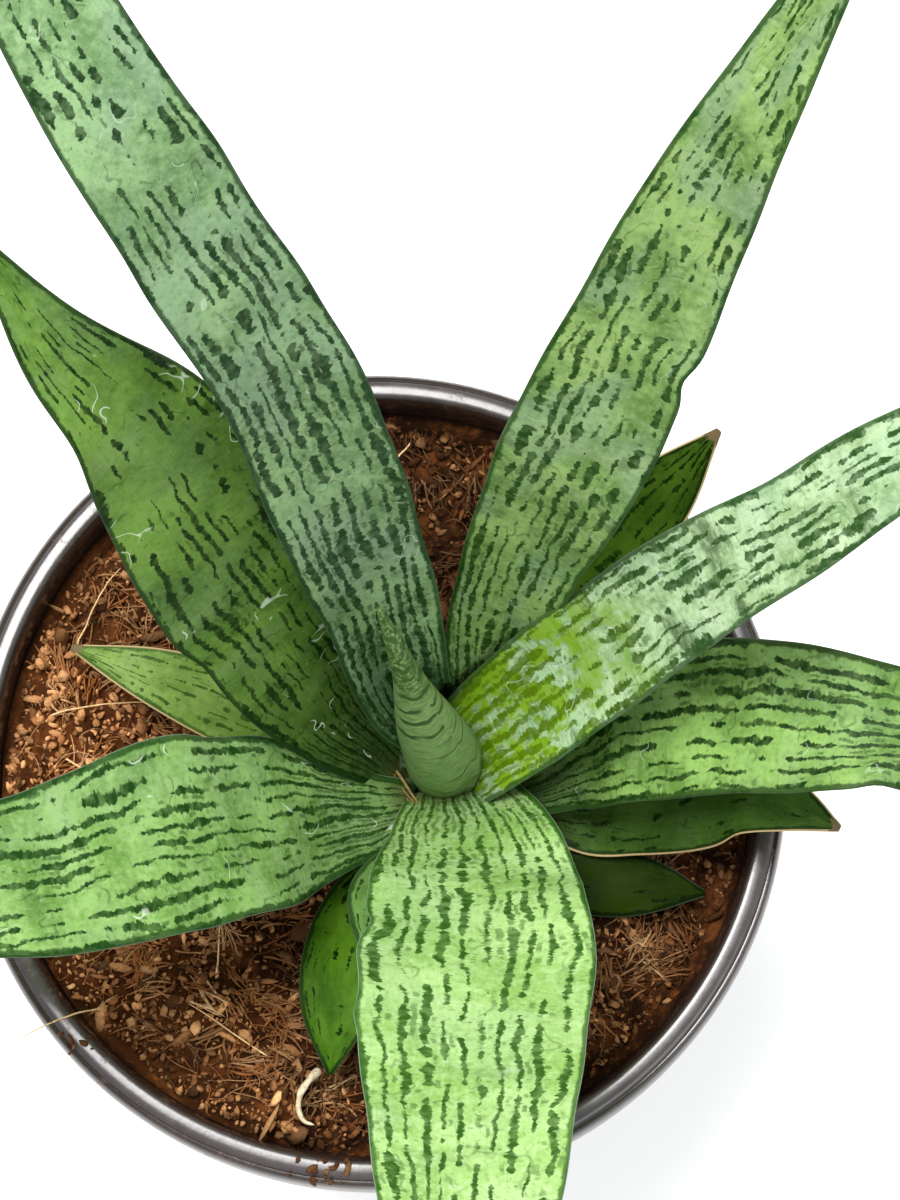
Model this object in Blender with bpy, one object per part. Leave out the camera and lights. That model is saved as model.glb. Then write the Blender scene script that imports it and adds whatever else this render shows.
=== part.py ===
"""Potted snake plant: a rosette of broad leaves growing from a short crown in
coir, in a tapered nursery pot.

Frame: metres, +Z up. The origin is the centre of the pot's underside, which
stands on z = 0. +X is the plant's right and -Y its front. Each leaf points
along its own heading, turned from +X towards +Y.
"""

import math

import bmesh
import bpy
from mathutils import Vector

MM = 0.001

# Pot
POT_HEIGHT = 0.100
RIM_RADIUS = 0.0604
BASE_RADIUS = 0.042
POT_WALL = 0.0012
RIM_WIDTH = 0.0048
RIM_DEPTH = 0.011
COLLAR_DEPTH = 0.0072
LEDGE_WIDTH = 0.0013
LIP_GROOVE_DEPTH = 0.0006
FOOT_RECESS = 0.0016
FOOT_PAD_RADIUS = 0.020
FOOT_RING_WIDTH = 0.005
FOOT_EDGE = 0.0008
LEDGE_ROUND = 0.0004
FLOOR_CORNER = 0.0010
RIM_CORNER = 0.0005
DRAIN_HOLES = 8
DRAIN_HOLE_RADIUS = 0.0042
DRAIN_HOLE_SIDES = 20
FOOT_NOTCHES = 4
FOOT_NOTCH_WIDTH = 0.008
POT_SEGMENTS = 56

# The lip's outer ridge from the outside, as (inward from the rim's outside,
# below the pot's top), then its inner ridge, as (outward from the collar's
# inside, below the pot's top).
OUTER_RIDGE = ((0.0002, 0.0020), (0.0006, 0.0007), (0.0014, 0.0001), (0.0022, 0.0),
               (0.0029, 0.0002), (0.0034, LIP_GROOVE_DEPTH))
INNER_RIDGE = ((0.0008, LIP_GROOVE_DEPTH / 2), (0.0003, LIP_GROOVE_DEPTH), (0.0, 0.0016))

# Coir and crown
COIR_DROP = 0.0100
COIR_RELIEF = 0.0012
COIR_RINGS = 9
COIR_LEVEL_SHARE = 0.25
COIR_FOOT_HEIGHT = 0.0030
COIR_FOOT_INSET = 0.0015
CROWN_X = 0.010
CROWN_Y = -0.002
CROWN_RADIUS = 0.0105
CROWN_SUNK = 0.006
CROWN_RISE = 0.0035
CROWN_FOOT_SHARE = 0.80
CROWN_SHOULDER_SHARE = 0.85
CROWN_TOP_SHARE = 0.60
CROWN_FOOT_BEVEL = 0.0015
CROWN_SHOULDER_DROP = 0.0010
CROWN_SEGMENTS = 32
CLEARANCE = 0.0003

# Leaves
LEAF_RINGS = 17
LEAF_POINTS = 7
LEAF_MIDRIB = 0.0020
LEAF_BASE_MIDRIB = 0.0022
LEAF_TIP_MIDRIB = 0.0007
LEAF_MARGIN = 0.0005
LEAF_DEEPEST = 0.45
THICKEST_TO = 0.3
FOLD_REACH = 0.45
TANGENT_REACH = 0.01
SPEAR_SIDES = 16

# Root sprout
SPROUT_BASE_RADIUS = 0.00066
SPROUT_TIP_RADIUS = 0.00036
SPROUT_RINGS = 12
SPROUT_SIDES = 8

GREY_GREEN = (0.20, 0.30, 0.17)
MID_GREEN = (0.12, 0.27, 0.07)
LIME_GREEN = (0.25, 0.45, 0.13)
PALE_GREEN = (0.32, 0.48, 0.22)
DEEP_GREEN = (0.05, 0.16, 0.04)

# Each leaf, from the innermost to the outermost: its heading in degrees, its
# colour, how far its channel is folded at the base and at the tip (half
# angles in degrees), its lean to one side in degrees, and its stations from
# base to tip in millimetres: (outward, aside, upward, width).
LEAVES = {
    "leaf_back_left_tall": dict(
        heading=123, colour=GREY_GREEN, fold=(68, 16), lean=0,
        stations=((6.5, 0.5, 1, 11), (12, 1, 20, 13.5), (20, 3, 40, 16), (30, 4, 62, 18),
                  (41, 5, 80, 18), (57, 3, 104, 17), (74, 1, 124, 15),
                  (89, 1, 136, 11), (101, 0, 144, 1))),
    "leaf_right_upper": dict(
        heading=27, colour=PALE_GREEN, fold=(56, 12), lean=-7,
        stations=((8.5, 2, 0.5, 10), (14, 0.5, 13, 15), (24, -2, 29, 17), (38, -3, 47, 16),
                  (51, -2, 62, 14), (65, -2, 74, 12), (79, -1, 82, 8), (92, 0, 88, 1))),
    "leaf_back_right_tall": dict(
        heading=59, colour=LIME_GREEN, fold=(30, 12), lean=-12,
        stations=((11.5, -1, 0.5, 10), (19.5, -3.5, 18, 13.5), (29, -4.3, 40, 16.6),
                  (39, -3.5, 61, 19.5), (51, -3, 79, 18), (63, -3, 96, 15), (75, -2, 112, 10.5),
                  (87, -1, 124, 6), (96, 0, 132, 1))),
    "leaf_left_middle": dict(
        heading=137, colour=MID_GREEN, fold=(36, 12), lean=0,
        stations=((10, -2, 0.5, 11), (16, -3, 9, 16), (22, -3, 20, 20), (35, -2, 46, 26),
                  (51, 0, 70, 21), (66, -1, 88, 9), (78, 1, 96, 1))),
    "leaf_front_broad": dict(
        heading=-89, colour=LIME_GREEN, fold=(50, 12), lean=0,
        stations=((7.5, -1, 0.5, 12), (12, -4, 14, 25), (19, -4, 26, 30), (28, -4, 36, 32),
                  (41, -3, 48, 29), (60, -2, 62, 23), (71, -1, 68, 18), (80, -1, 72, 11),
                  (88, 0, 74, 1))),
    "leaf_left_lower": dict(
        heading=-166, colour=LIME_GREEN, fold=(30, 10), lean=0,
        stations=((12.5, -1.5, -0.5, 9), (18, -1, 7, 17), (25, -1, 17, 24), (38, -2, 33, 27),
                  (54, -4, 43, 23), (71, -3, 50, 18), (83, -2, 52, 12), (93, 0, 53, 1))),
    "leaf_right_lower": dict(
        heading=-1, colour=LIME_GREEN, fold=(45, 10), lean=0,
        stations=((13, -1, 0, 9), (19, -4, 7.5, 16), (25, -6, 16, 20), (38, -7, 27, 22),
                  (52, -5, 36, 20), (71, -2, 44, 14), (82, -1, 47, 9), (92, 1, 48, 1))),
    "leaf_back_right_small": dict(
        heading=50, colour=MID_GREEN, fold=(40, 15), lean=0,
        stations=((15, -1, -0.5, 7), (24, -4, 6.5, 12), (32, -3, 14, 14), (42, -2, 21, 13),
                  (50, -1, 26, 10), (60, 0, 33, 1))),
    "leaf_left_small": dict(
        heading=160, colour=MID_GREEN, fold=(40, 15), lean=0,
        stations=((13, -1, -1, 8), (20, 0, 1, 11), (31, 0, 5, 12), (44, 0, 8, 9),
                  (58, 0, 8, 1))),
    "leaf_right_shaded": dict(
        heading=-9, colour=DEEP_GREEN, fold=(40, 15), lean=0,
        stations=((16, 1, -1, 8), (22, 1, 0, 11), (29, 0, 4.3, 12), (37, -2, 11.5, 13),
                  (43, -3, 18, 11), (50, -2, 21, 7), (56, 0, 23, 1))),
    "leaf_front_right_small": dict(
        heading=-22, colour=DEEP_GREEN, fold=(35, 15), lean=0,
        stations=((14, 8, -1.5, 5.5), (20, 8, -1, 8), (27, 6.2, 0.2, 9.2), (35, 3.5, 3, 7),
                  (41, 0, 5, 1))),
    "leaf_front_left_tucked": dict(
        heading=-112, colour=MID_GREEN, fold=(40, 15), lean=0,
        stations=((11.5, 1.5, 0, 4), (14.5, 2.5, 4.5, 6), (20, 3, 11, 7), (25, 1, 15, 5),
                  (29, 0, 18, 1))),
    "leaf_front_left_small": dict(
        heading=-111, colour=MID_GREEN, fold=(35, 15), lean=0,
        stations=((13, 3, -1.5, 6), (17, 4, 0, 9), (24, 5, 4, 11), (32, 4, 8, 11),
                  (38, 2, 9, 9), (45, 0, 9, 1))),
}

# The young central leaf, rolled into a spear: (outward, aside, upward, diameter).
SPEAR = dict(
    heading=119, colour=PALE_GREEN,
    stations=((0, 0, 1, 8), (2, 0.5, 10, 8.5), (5, 0, 24, 7.5), (8, 0, 38, 5.5),
              (11, 0, 48, 4.2), (14, 0, 56, 2.6), (16.5, 0, 61, 0.8)))

# The pale root tip that curls out of the coir: (x, y, height above the coir).
SPROUT = ((-7.5, -43.5, 0.8), (-9, -45, 2.2), (-10.5, -47, 2.6), (-10.8, -49.5, 1.8),
          (-9.5, -51, 1.2))


def clear_scene():
    for item in list(bpy.data.objects):
        bpy.data.objects.remove(item, do_unlink=True)


def material(name, colour, roughness):
    made = bpy.data.materials.new(name)
    made.use_nodes = True
    shader = made.node_tree.nodes["Principled BSDF"]
    shader.inputs["Base Color"].default_value = (*colour, 1.0)
    shader.inputs["Roughness"].default_value = roughness
    shader.inputs["Metallic"].default_value = 0.0
    return made


def add_object(name, mesh_data, finish, parent):
    made = bpy.data.objects.new(name, mesh_data)
    made.data.materials.append(finish)
    made.parent = parent
    bpy.context.scene.collection.objects.link(made)
    made.data.shade_smooth()
    return made


def mesh_from(name, points, faces):
    made = bpy.data.meshes.new(name)
    made.from_pydata([tuple(point) for point in points], [], faces)
    made.validate()
    return made


def turned_faces(rows, segments):
    """Faces over rows of points round an axis, with one point at each end."""
    top = 1 + rows * segments
    faces = []
    for step in range(segments):
        after = (step + 1) % segments
        faces.append((0, 1 + after, 1 + step))
        for row in range(rows - 1):
            low = 1 + row * segments
            high = low + segments
            faces.append((low + step, low + after, high + after, high + step))
        last = 1 + (rows - 1) * segments
        faces.append((last + step, last + after, top))
    return faces


def turned_mesh(name, profile, segments):
    """Turn a profile of (radius, height), run from the bottom centre up the
    outside, about Z. Its first and last points lie on the axis."""
    points = [(0.0, 0.0, profile[0][1])]
    for radius, height in profile[1:-1]:
        for step in range(segments):
            turn = 2 * math.pi * step / segments
            points.append((radius * math.cos(turn), radius * math.sin(turn), height))
    points.append((0.0, 0.0, profile[-1][1]))
    return mesh_from(name, points, turned_faces(len(profile) - 2, segments))


def cut(target, cutter):
    """Take cutter away from target."""
    step = target.modifiers.new("cut_" + cutter.name, "BOOLEAN")
    step.operation = "DIFFERENCE"
    step.solver = "EXACT"
    step.object = cutter


def cutter_object(name, mesh_data, parent):
    made = bpy.data.objects.new(name, mesh_data)
    made.parent = parent
    bpy.context.scene.collection.objects.link(made)
    made.hide_render = True
    made.display_type = "WIRE"
    return made


def tapered_radius(height):
    """Outer radius of the pot's wall, which runs straight from foot to ledge."""
    ledge_height = POT_HEIGHT - COLLAR_DEPTH
    share = height / ledge_height
    return BASE_RADIUS + (mouth_radius() - LEDGE_WIDTH + POT_WALL - BASE_RADIUS) * share


def mouth_radius():
    """Inner radius of the upright collar below the lip."""
    return RIM_RADIUS - RIM_WIDTH


def pot_profile():
    """Underside, outer wall, hanging rim, double lip, inner wall and floor."""
    ring_inner = BASE_RADIUS - FOOT_RING_WIDTH
    ledge = POT_HEIGHT - COLLAR_DEPTH
    mouth = mouth_radius()
    skirt = RIM_RADIUS - POT_WALL
    floor = FOOT_RECESS + POT_WALL
    outside = [
        (0, 0),
        (FOOT_PAD_RADIUS, 0),
        (FOOT_PAD_RADIUS + FOOT_RECESS, FOOT_RECESS),
        (ring_inner - FOOT_RECESS, FOOT_RECESS),
        (ring_inner, 0),
        (BASE_RADIUS - FOOT_EDGE, 0),
        (tapered_radius(FOOT_EDGE), FOOT_EDGE),
        (tapered_radius(ledge - POT_WALL), ledge - POT_WALL),
        (mouth + POT_WALL, ledge - POT_WALL / 2),
        (mouth + POT_WALL, POT_HEIGHT - 2 * POT_WALL + RIM_CORNER),
        (skirt - RIM_CORNER, POT_HEIGHT - 2 * POT_WALL + RIM_CORNER),
        (skirt, POT_HEIGHT - 2 * POT_WALL),
        (skirt, POT_HEIGHT - RIM_DEPTH),
        (RIM_RADIUS, POT_HEIGHT - RIM_DEPTH),
    ]
    lip = [(RIM_RADIUS - inward, POT_HEIGHT - down) for inward, down in OUTER_RIDGE]
    lip += [(mouth + outward, POT_HEIGHT - down) for outward, down in INNER_RIDGE]
    inside = [
        (mouth, ledge),
        (mouth - LEDGE_WIDTH, ledge - LEDGE_ROUND),
        (tapered_radius(floor) - POT_WALL, floor + FLOOR_CORNER),
        (tapered_radius(floor) - POT_WALL - FLOOR_CORNER, floor),
        (0, floor),
    ]
    return outside + lip + inside


def pot_wall_inside(height):
    """Inner radius of the pot's wall below the ledge."""
    start = FOOT_RECESS + POT_WALL + FLOOR_CORNER
    end = POT_HEIGHT - COLLAR_DEPTH - LEDGE_ROUND
    low = tapered_radius(FOOT_RECESS + POT_WALL) - POT_WALL
    high = mouth_radius() - LEDGE_WIDTH
    return low + (high - low) * (height - start) / (end - start)


def drain_cutter(parent):
    """Round drain holes through the recessed part of the floor."""
    work = bmesh.new()
    middle = (FOOT_PAD_RADIUS + BASE_RADIUS - FOOT_RING_WIDTH) / 2
    for hole in range(DRAIN_HOLES):
        turn = 2 * math.pi * (hole + 0.5) / DRAIN_HOLES
        made = bmesh.ops.create_cone(
            work, cap_ends=True, segments=DRAIN_HOLE_SIDES, radius1=DRAIN_HOLE_RADIUS,
            radius2=DRAIN_HOLE_RADIUS, depth=10 * POT_WALL)
        place = Vector((middle * math.cos(turn), middle * math.sin(turn), FOOT_RECESS))
        bmesh.ops.translate(work, verts=made["verts"], vec=place)
    mesh_data = bpy.data.meshes.new("drain_cutter")
    work.to_mesh(mesh_data)
    work.free()
    return cutter_object("drain_cutter", mesh_data, parent)


def notch_cutter(parent):
    """Notches that let the water out under the foot ring."""
    work = bmesh.new()
    for notch in range(FOOT_NOTCHES):
        turn = 2 * math.pi * notch / FOOT_NOTCHES
        made = bmesh.ops.create_cube(work, size=1.0)
        reach = 3 * FOOT_RING_WIDTH
        middle = BASE_RADIUS - FOOT_RING_WIDTH / 2
        for corner in made["verts"]:
            along = middle + corner.co.x * reach
            across = corner.co.y * FOOT_NOTCH_WIDTH
            height = corner.co.z * 2 * FOOT_RECESS
            corner.co = Vector((along * math.cos(turn) - across * math.sin(turn),
                                along * math.sin(turn) + across * math.cos(turn), height))
    mesh_data = bpy.data.meshes.new("notch_cutter")
    work.to_mesh(mesh_data)
    work.free()
    return cutter_object("notch_cutter", mesh_data, parent)


def coir_height():
    return POT_HEIGHT - COIR_DROP


def coir_relief(x, y):
    """Low lumps in the coir's top, level at the wall."""
    waves = math.sin(x / 0.009 + 1.3) * math.cos(y / 0.011 - 0.4) + 0.6 * math.sin((x + y) / 0.006)
    return COIR_RELIEF * waves / 1.6


def coir_mesh():
    """The coir fills the pot from its floor to just below the rim, with a
    small clearance to the plastic. Above the ledge it keeps the ledge's width."""
    floor = FOOT_RECESS + POT_WALL + CLEARANCE
    foot = floor + COIR_FOOT_HEIGHT
    low = pot_wall_inside(floor + FLOOR_CORNER) - COIR_FOOT_INSET - CLEARANCE
    edge = min(pot_wall_inside(coir_height()), mouth_radius() - LEDGE_WIDTH) - CLEARANCE
    rows = [(low, floor, 0.0), (pot_wall_inside(foot) - CLEARANCE, foot, 0.0)]
    for ring in range(COIR_RINGS):
        inward = ring / COIR_RINGS
        rows.append((edge * (1 - inward), coir_height(), min(1.0, inward / COIR_LEVEL_SHARE)))
    points = [(0.0, 0.0, floor)]
    for radius, height, lumpiness in rows:
        for step in range(POT_SEGMENTS):
            turn = 2 * math.pi * step / POT_SEGMENTS
            x = radius * math.cos(turn)
            y = radius * math.sin(turn)
            points.append((x, y, height + lumpiness * coir_relief(x, y)))
    points.append((0.0, 0.0, coir_height() + coir_relief(0, 0)))
    return mesh_from("potting_coir", points, turned_faces(len(rows), POT_SEGMENTS))


def crown_profile(grow):
    """The short crown, grown on every side by grow."""
    bottom = coir_height() - CROWN_SUNK - grow
    top = coir_height() + CROWN_RISE + grow
    return [
        (0, bottom),
        (CROWN_RADIUS * CROWN_FOOT_SHARE + grow, bottom),
        (CROWN_RADIUS + grow, bottom + CROWN_FOOT_BEVEL),
        (CROWN_RADIUS + grow, coir_height()),
        (CROWN_RADIUS * CROWN_SHOULDER_SHARE + grow, top - CROWN_SHOULDER_DROP),
        (CROWN_RADIUS * CROWN_TOP_SHARE + grow, top),
        (0, top),
    ]


def through(stations, place):
    """A smooth curve through the stations, read at place (0 to 1 along it).
    Each station is a row of numbers whose first three are its point."""
    points = [Vector(row[:3]) for row in stations]
    marks = [0.0]
    for before, after in zip(points, points[1:]):
        marks.append(marks[-1] + (after - before).length)
    where = place * marks[-1]
    index = 0
    while index < len(marks) - 2 and where > marks[index + 1]:
        index += 1

    def slope(at, column):
        low = max(0, at - 1)
        high = min(len(marks) - 1, at + 1)
        if low == at or high == at:
            return (stations[high][column] - stations[low][column]) / (marks[high] - marks[low])
        before = (stations[at][column] - stations[low][column]) / (marks[at] - marks[low])
        after = (stations[high][column] - stations[at][column]) / (marks[high] - marks[at])
        weight = (marks[high] - marks[at]) / (marks[high] - marks[low])
        return before * weight + after * (1 - weight)

    span = marks[index + 1] - marks[index]
    t = (where - marks[index]) / span
    read = []
    for column in range(len(stations[0])):
        start = stations[index][column]
        end = stations[index + 1][column]
        leave = slope(index, column) * span
        arrive = slope(index + 1, column) * span
        read.append((2 * t ** 3 - 3 * t ** 2 + 1) * start + (t ** 3 - 2 * t ** 2 + t) * leave
                    + (3 * t ** 2 - 2 * t ** 3) * end + (t ** 3 - t ** 2) * arrive)
    return read


def crown_top():
    return Vector((CROWN_X, CROWN_Y, coir_height() + CROWN_RISE + 2 * CLEARANCE))


def growth_frames(stations, heading, rings):
    """Points along a leaf's middle, each with its direction, its sideways and
    its upward vector, and its width."""
    turn = math.radians(heading)
    outward = Vector((math.cos(turn), math.sin(turn), 0))
    aside = Vector((math.sin(turn), -math.cos(turn), 0))

    def middle(place):
        read = through(stations, place)
        point = crown_top() + MM * (outward * read[0] + aside * read[1] + Vector((0, 0, read[2])))
        return point, MM * read[3]

    frames = []
    for ring in range(rings):
        place = ring / (rings - 1)
        point, width = middle(place)
        ahead = middle(min(1.0, place + TANGENT_REACH))[0]
        behind = middle(max(0.0, place - TANGENT_REACH))[0]
        along = (ahead - behind).normalized()
        across = along.cross(Vector((0, 0, 1))).normalized()
        upper = across.cross(along)
        frames.append((place, point, along, across, upper, width))
    return frames


def ringed_mesh(name, rings):
    """Close a list of rings of equal length into one tube with flat ends."""
    count = len(rings[0])
    points = [point for ring in rings for point in ring]
    faces = [tuple(range(count))]
    for row in range(len(rings) - 1):
        low = row * count
        high = low + count
        for step in range(count):
            after = (step + 1) % count
            faces.append((low + step, high + step, high + after, low + after))
    last = (len(rings) - 1) * count
    faces.append(tuple(reversed(range(last, last + count))))
    return mesh_from(name, points, faces)


def fold_at(fold, place):
    """The channel's half angle: deep at the base, opening by FOLD_REACH."""
    share = min(1.0, place / FOLD_REACH)
    ease = share * share * (3 - 2 * share)
    return math.radians(fold[0] + (fold[1] - fold[0]) * ease)


def midrib_at(place):
    """Thickness along the middle of a leaf."""
    if place < THICKEST_TO:
        share = place / THICKEST_TO
        return LEAF_BASE_MIDRIB + (LEAF_MIDRIB - LEAF_BASE_MIDRIB) * share
    share = (place - THICKEST_TO) / (1 - THICKEST_TO)
    return LEAF_MIDRIB + (LEAF_TIP_MIDRIB - LEAF_MIDRIB) * share


def leaf_mesh(name, heading, fold, lean, stations):
    """A blade whose cross-section is an arc, thickest at the middle."""
    rings = []
    for place, point, _, across, upper, width in growth_frames(stations, heading, LEAF_RINGS):
        tilt = math.radians(lean)
        side = across * math.cos(tilt) + upper * math.sin(tilt)
        face = upper * math.cos(tilt) - across * math.sin(tilt)
        half = fold_at(fold, place)
        bend = width / 2 / math.sin(half)
        top = []
        bottom = []
        for step in range(LEAF_POINTS):
            share = 2 * step / (LEAF_POINTS - 1) - 1
            swing = half * share
            centre = point + side * bend * math.sin(swing) + face * bend * (1 - math.cos(swing))
            normal = face * math.cos(swing) - side * math.sin(swing)
            depth = LEAF_MARGIN + (midrib_at(place) - LEAF_MARGIN) * (1 - share * share)
            depth = min(depth, LEAF_DEEPEST * width)
            top.append(centre + normal * depth / 2)
            bottom.append(centre - normal * depth / 2)
        rings.append(bottom + list(reversed(top)))
    return ringed_mesh(name, rings)


def round_ring(middle, across, upper, radius, sides):
    turns = [2 * math.pi * side / sides for side in range(sides)]
    return [middle + radius * (across * math.cos(turn) + upper * math.sin(turn))
            for turn in turns]


def spear_mesh(name, heading, stations):
    """The young leaf, still rolled: a closed round taper."""
    rings = []
    for _, point, _, across, upper, width in growth_frames(stations, heading, LEAF_RINGS):
        rings.append(round_ring(point, across, upper, width / 2, SPEAR_SIDES))
    return ringed_mesh(name, rings)


def sprout_mesh(name):
    """The bare root tip: a thin round tube that curls above the coir."""
    stations = [(x, y, height + COIR_RELIEF / MM, 1.0) for x, y, height in SPROUT]
    rings = []
    for ring in range(SPROUT_RINGS):
        place = ring / (SPROUT_RINGS - 1)
        here = Vector(through(stations, place)[:3])
        ahead = Vector(through(stations, min(1.0, place + TANGENT_REACH))[:3])
        behind = Vector(through(stations, max(0.0, place - TANGENT_REACH))[:3])
        along = (ahead - behind).normalized()
        across = along.cross(Vector((0, 0, 1))).normalized()
        middle = MM * here + Vector((0, 0, coir_height()))
        radius = SPROUT_BASE_RADIUS + (SPROUT_TIP_RADIUS - SPROUT_BASE_RADIUS) * place
        rings.append(round_ring(middle, across, across.cross(along), radius, SPROUT_SIDES))
    return ringed_mesh(name, rings)


def make_pot(root):
    finish = material("pot_plastic", (0.030, 0.022, 0.020), 0.35)
    pot = add_object("nursery_pot", turned_mesh("nursery_pot", pot_profile(), POT_SEGMENTS),
                     finish, root)
    cut(pot, drain_cutter(root))
    cut(pot, notch_cutter(root))
    pot.data.set_sharp_from_angle(angle=math.radians(40))


def make_coir_and_crown(root):
    coir_finish = material("coir", (0.16, 0.065, 0.030), 0.95)
    coir = add_object("potting_coir", coir_mesh(), coir_finish, root)
    crown_finish = material("crown_skin", (0.22, 0.17, 0.07), 0.8)
    crown = add_object("crown", turned_mesh("crown", crown_profile(0.0), CROWN_SEGMENTS),
                       crown_finish, root)
    crown.location = (CROWN_X, CROWN_Y, 0)
    socket_mesh = turned_mesh("crown_socket", crown_profile(CLEARANCE), CROWN_SEGMENTS)
    socket = cutter_object("crown_socket", socket_mesh, root)
    socket.location = crown.location
    cut(coir, socket)
    sprout_finish = material("root_skin", (0.75, 0.68, 0.50), 0.6)
    add_object("root_sprout", sprout_mesh("root_sprout"), sprout_finish, root)


def make_leaves(root):
    for name, leaf in LEAVES.items():
        finish = material(name + "_skin", leaf["colour"], 0.45)
        blade = leaf_mesh(name, leaf["heading"], leaf["fold"], leaf["lean"], leaf["stations"])
        add_object(name, blade, finish, root)
    finish = material("spear_skin", SPEAR["colour"], 0.45)
    spear = spear_mesh("central_spear", SPEAR["heading"], SPEAR["stations"])
    add_object("central_spear", spear, finish, root)


def main():
    clear_scene()
    root = bpy.data.objects.new("root", None)
    bpy.context.scene.collection.objects.link(root)
    make_pot(root)
    make_coir_and_crown(root)
    make_leaves(root)


main()
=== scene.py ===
"""Looks for a potted snake plant: fine leaves, coir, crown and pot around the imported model."""

import math

import bmesh
import bpy
import numpy as np
from bpy.props import FloatProperty, FloatVectorProperty, IntProperty, PointerProperty
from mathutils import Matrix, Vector


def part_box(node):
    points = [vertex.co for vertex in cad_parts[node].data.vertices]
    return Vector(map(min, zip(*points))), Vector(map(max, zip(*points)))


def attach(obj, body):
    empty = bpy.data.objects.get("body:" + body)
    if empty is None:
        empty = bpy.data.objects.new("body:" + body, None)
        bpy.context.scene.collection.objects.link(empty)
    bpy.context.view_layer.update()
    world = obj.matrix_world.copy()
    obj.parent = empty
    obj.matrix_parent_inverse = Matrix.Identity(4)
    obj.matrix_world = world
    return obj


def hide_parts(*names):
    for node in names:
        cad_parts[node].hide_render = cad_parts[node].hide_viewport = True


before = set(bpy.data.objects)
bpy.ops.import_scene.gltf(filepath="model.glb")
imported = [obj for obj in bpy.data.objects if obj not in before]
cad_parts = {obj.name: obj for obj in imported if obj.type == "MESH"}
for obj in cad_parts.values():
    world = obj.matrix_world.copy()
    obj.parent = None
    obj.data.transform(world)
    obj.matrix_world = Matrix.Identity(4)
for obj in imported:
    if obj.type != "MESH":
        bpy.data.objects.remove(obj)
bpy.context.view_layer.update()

bl_info = {
    "name": "Potted Snake Plant",
    "version": (1, 0, 0),
    "blender": (4, 5, 0),
    "location": "View3D > Sidebar > Snake Plant",
    "description": "Grows the leaves, coir and pot of a young snake plant around its packed model",
    "category": "Object",
}

MM = 0.001
TAU = 2 * math.pi

# Places read from the frame, and the pot's and coir's own sizes.
POT_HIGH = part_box("nursery_pot")[1]
COIR_LOW, COIR_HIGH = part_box("potting_coir")
CROWN_LOW, CROWN_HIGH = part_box("crown")
POT_TOP = POT_HIGH.z
RIM_RADIUS = POT_HIGH.x
MOUTH_RADIUS = RIM_RADIUS - 4.8 * MM
BASE_RADIUS = 42 * MM
LEDGE_HEIGHT = POT_TOP - 7.2 * MM
LEDGE_WIDTH = 1.3 * MM
FOOT_RECESS = 1.6 * MM
COIR_RADIUS = COIR_HIGH.x
SOIL_RADIUS = RIM_RADIUS - 5.1 * MM
CROWN_MIDDLE = (CROWN_LOW + CROWN_HIGH) / 2
LEAF_ROOT = Vector((CROWN_MIDDLE.x, CROWN_MIDDLE.y, CROWN_HIGH.z + 0.6 * MM))

# The pot's underside as (radius, height), and its lip as (inward from the rim's
# outside, down from the pot's top), in millimetres.
UNDERSIDE = ((0, 0), (20, 0), (20.6, 0.3), (21.6, 1.6), (35.4, 1.6), (36.6, 0.3), (37, 0),
             (41.2, 0), (41.8, 0.3))
LIP = ((0.15, 3.0), (0.30, 1.8), (0.50, 1.15), (0.80, 0.62), (1.05, 0.45), (1.25, 0.55),
       (1.45, 0.60), (1.65, 0.42), (1.9, 0.14), (2.2, 0.03), (2.8, 0.0), (3.4, 0.02),
       (3.8, 0.06), (4.1, 0.20), (4.35, 0.55), (4.6, 1.0), (4.8, 1.8))
DRAIN_HOLES = 8
DRAIN_RADIUS = 4.2 * MM
DRAIN_CIRCLE = 28.5 * MM
FOOT_NOTCHES = 4
NOTCH_CIRCLE = 39.5 * MM
NOTCH_SIZE = (15 * MM, 8 * MM, 3.2 * MM)

# Dirt on the rim lies in clusters at these turns, in degrees, and one pale chip
# lies by the root tip.
RIM_DIRT = 40
RIM_DIRT_TURNS = (-137, -99, -94, 172)
CHIP_SPOT = (-14 * MM, -47 * MM)
CRUMB_SHAPES = 24

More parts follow.
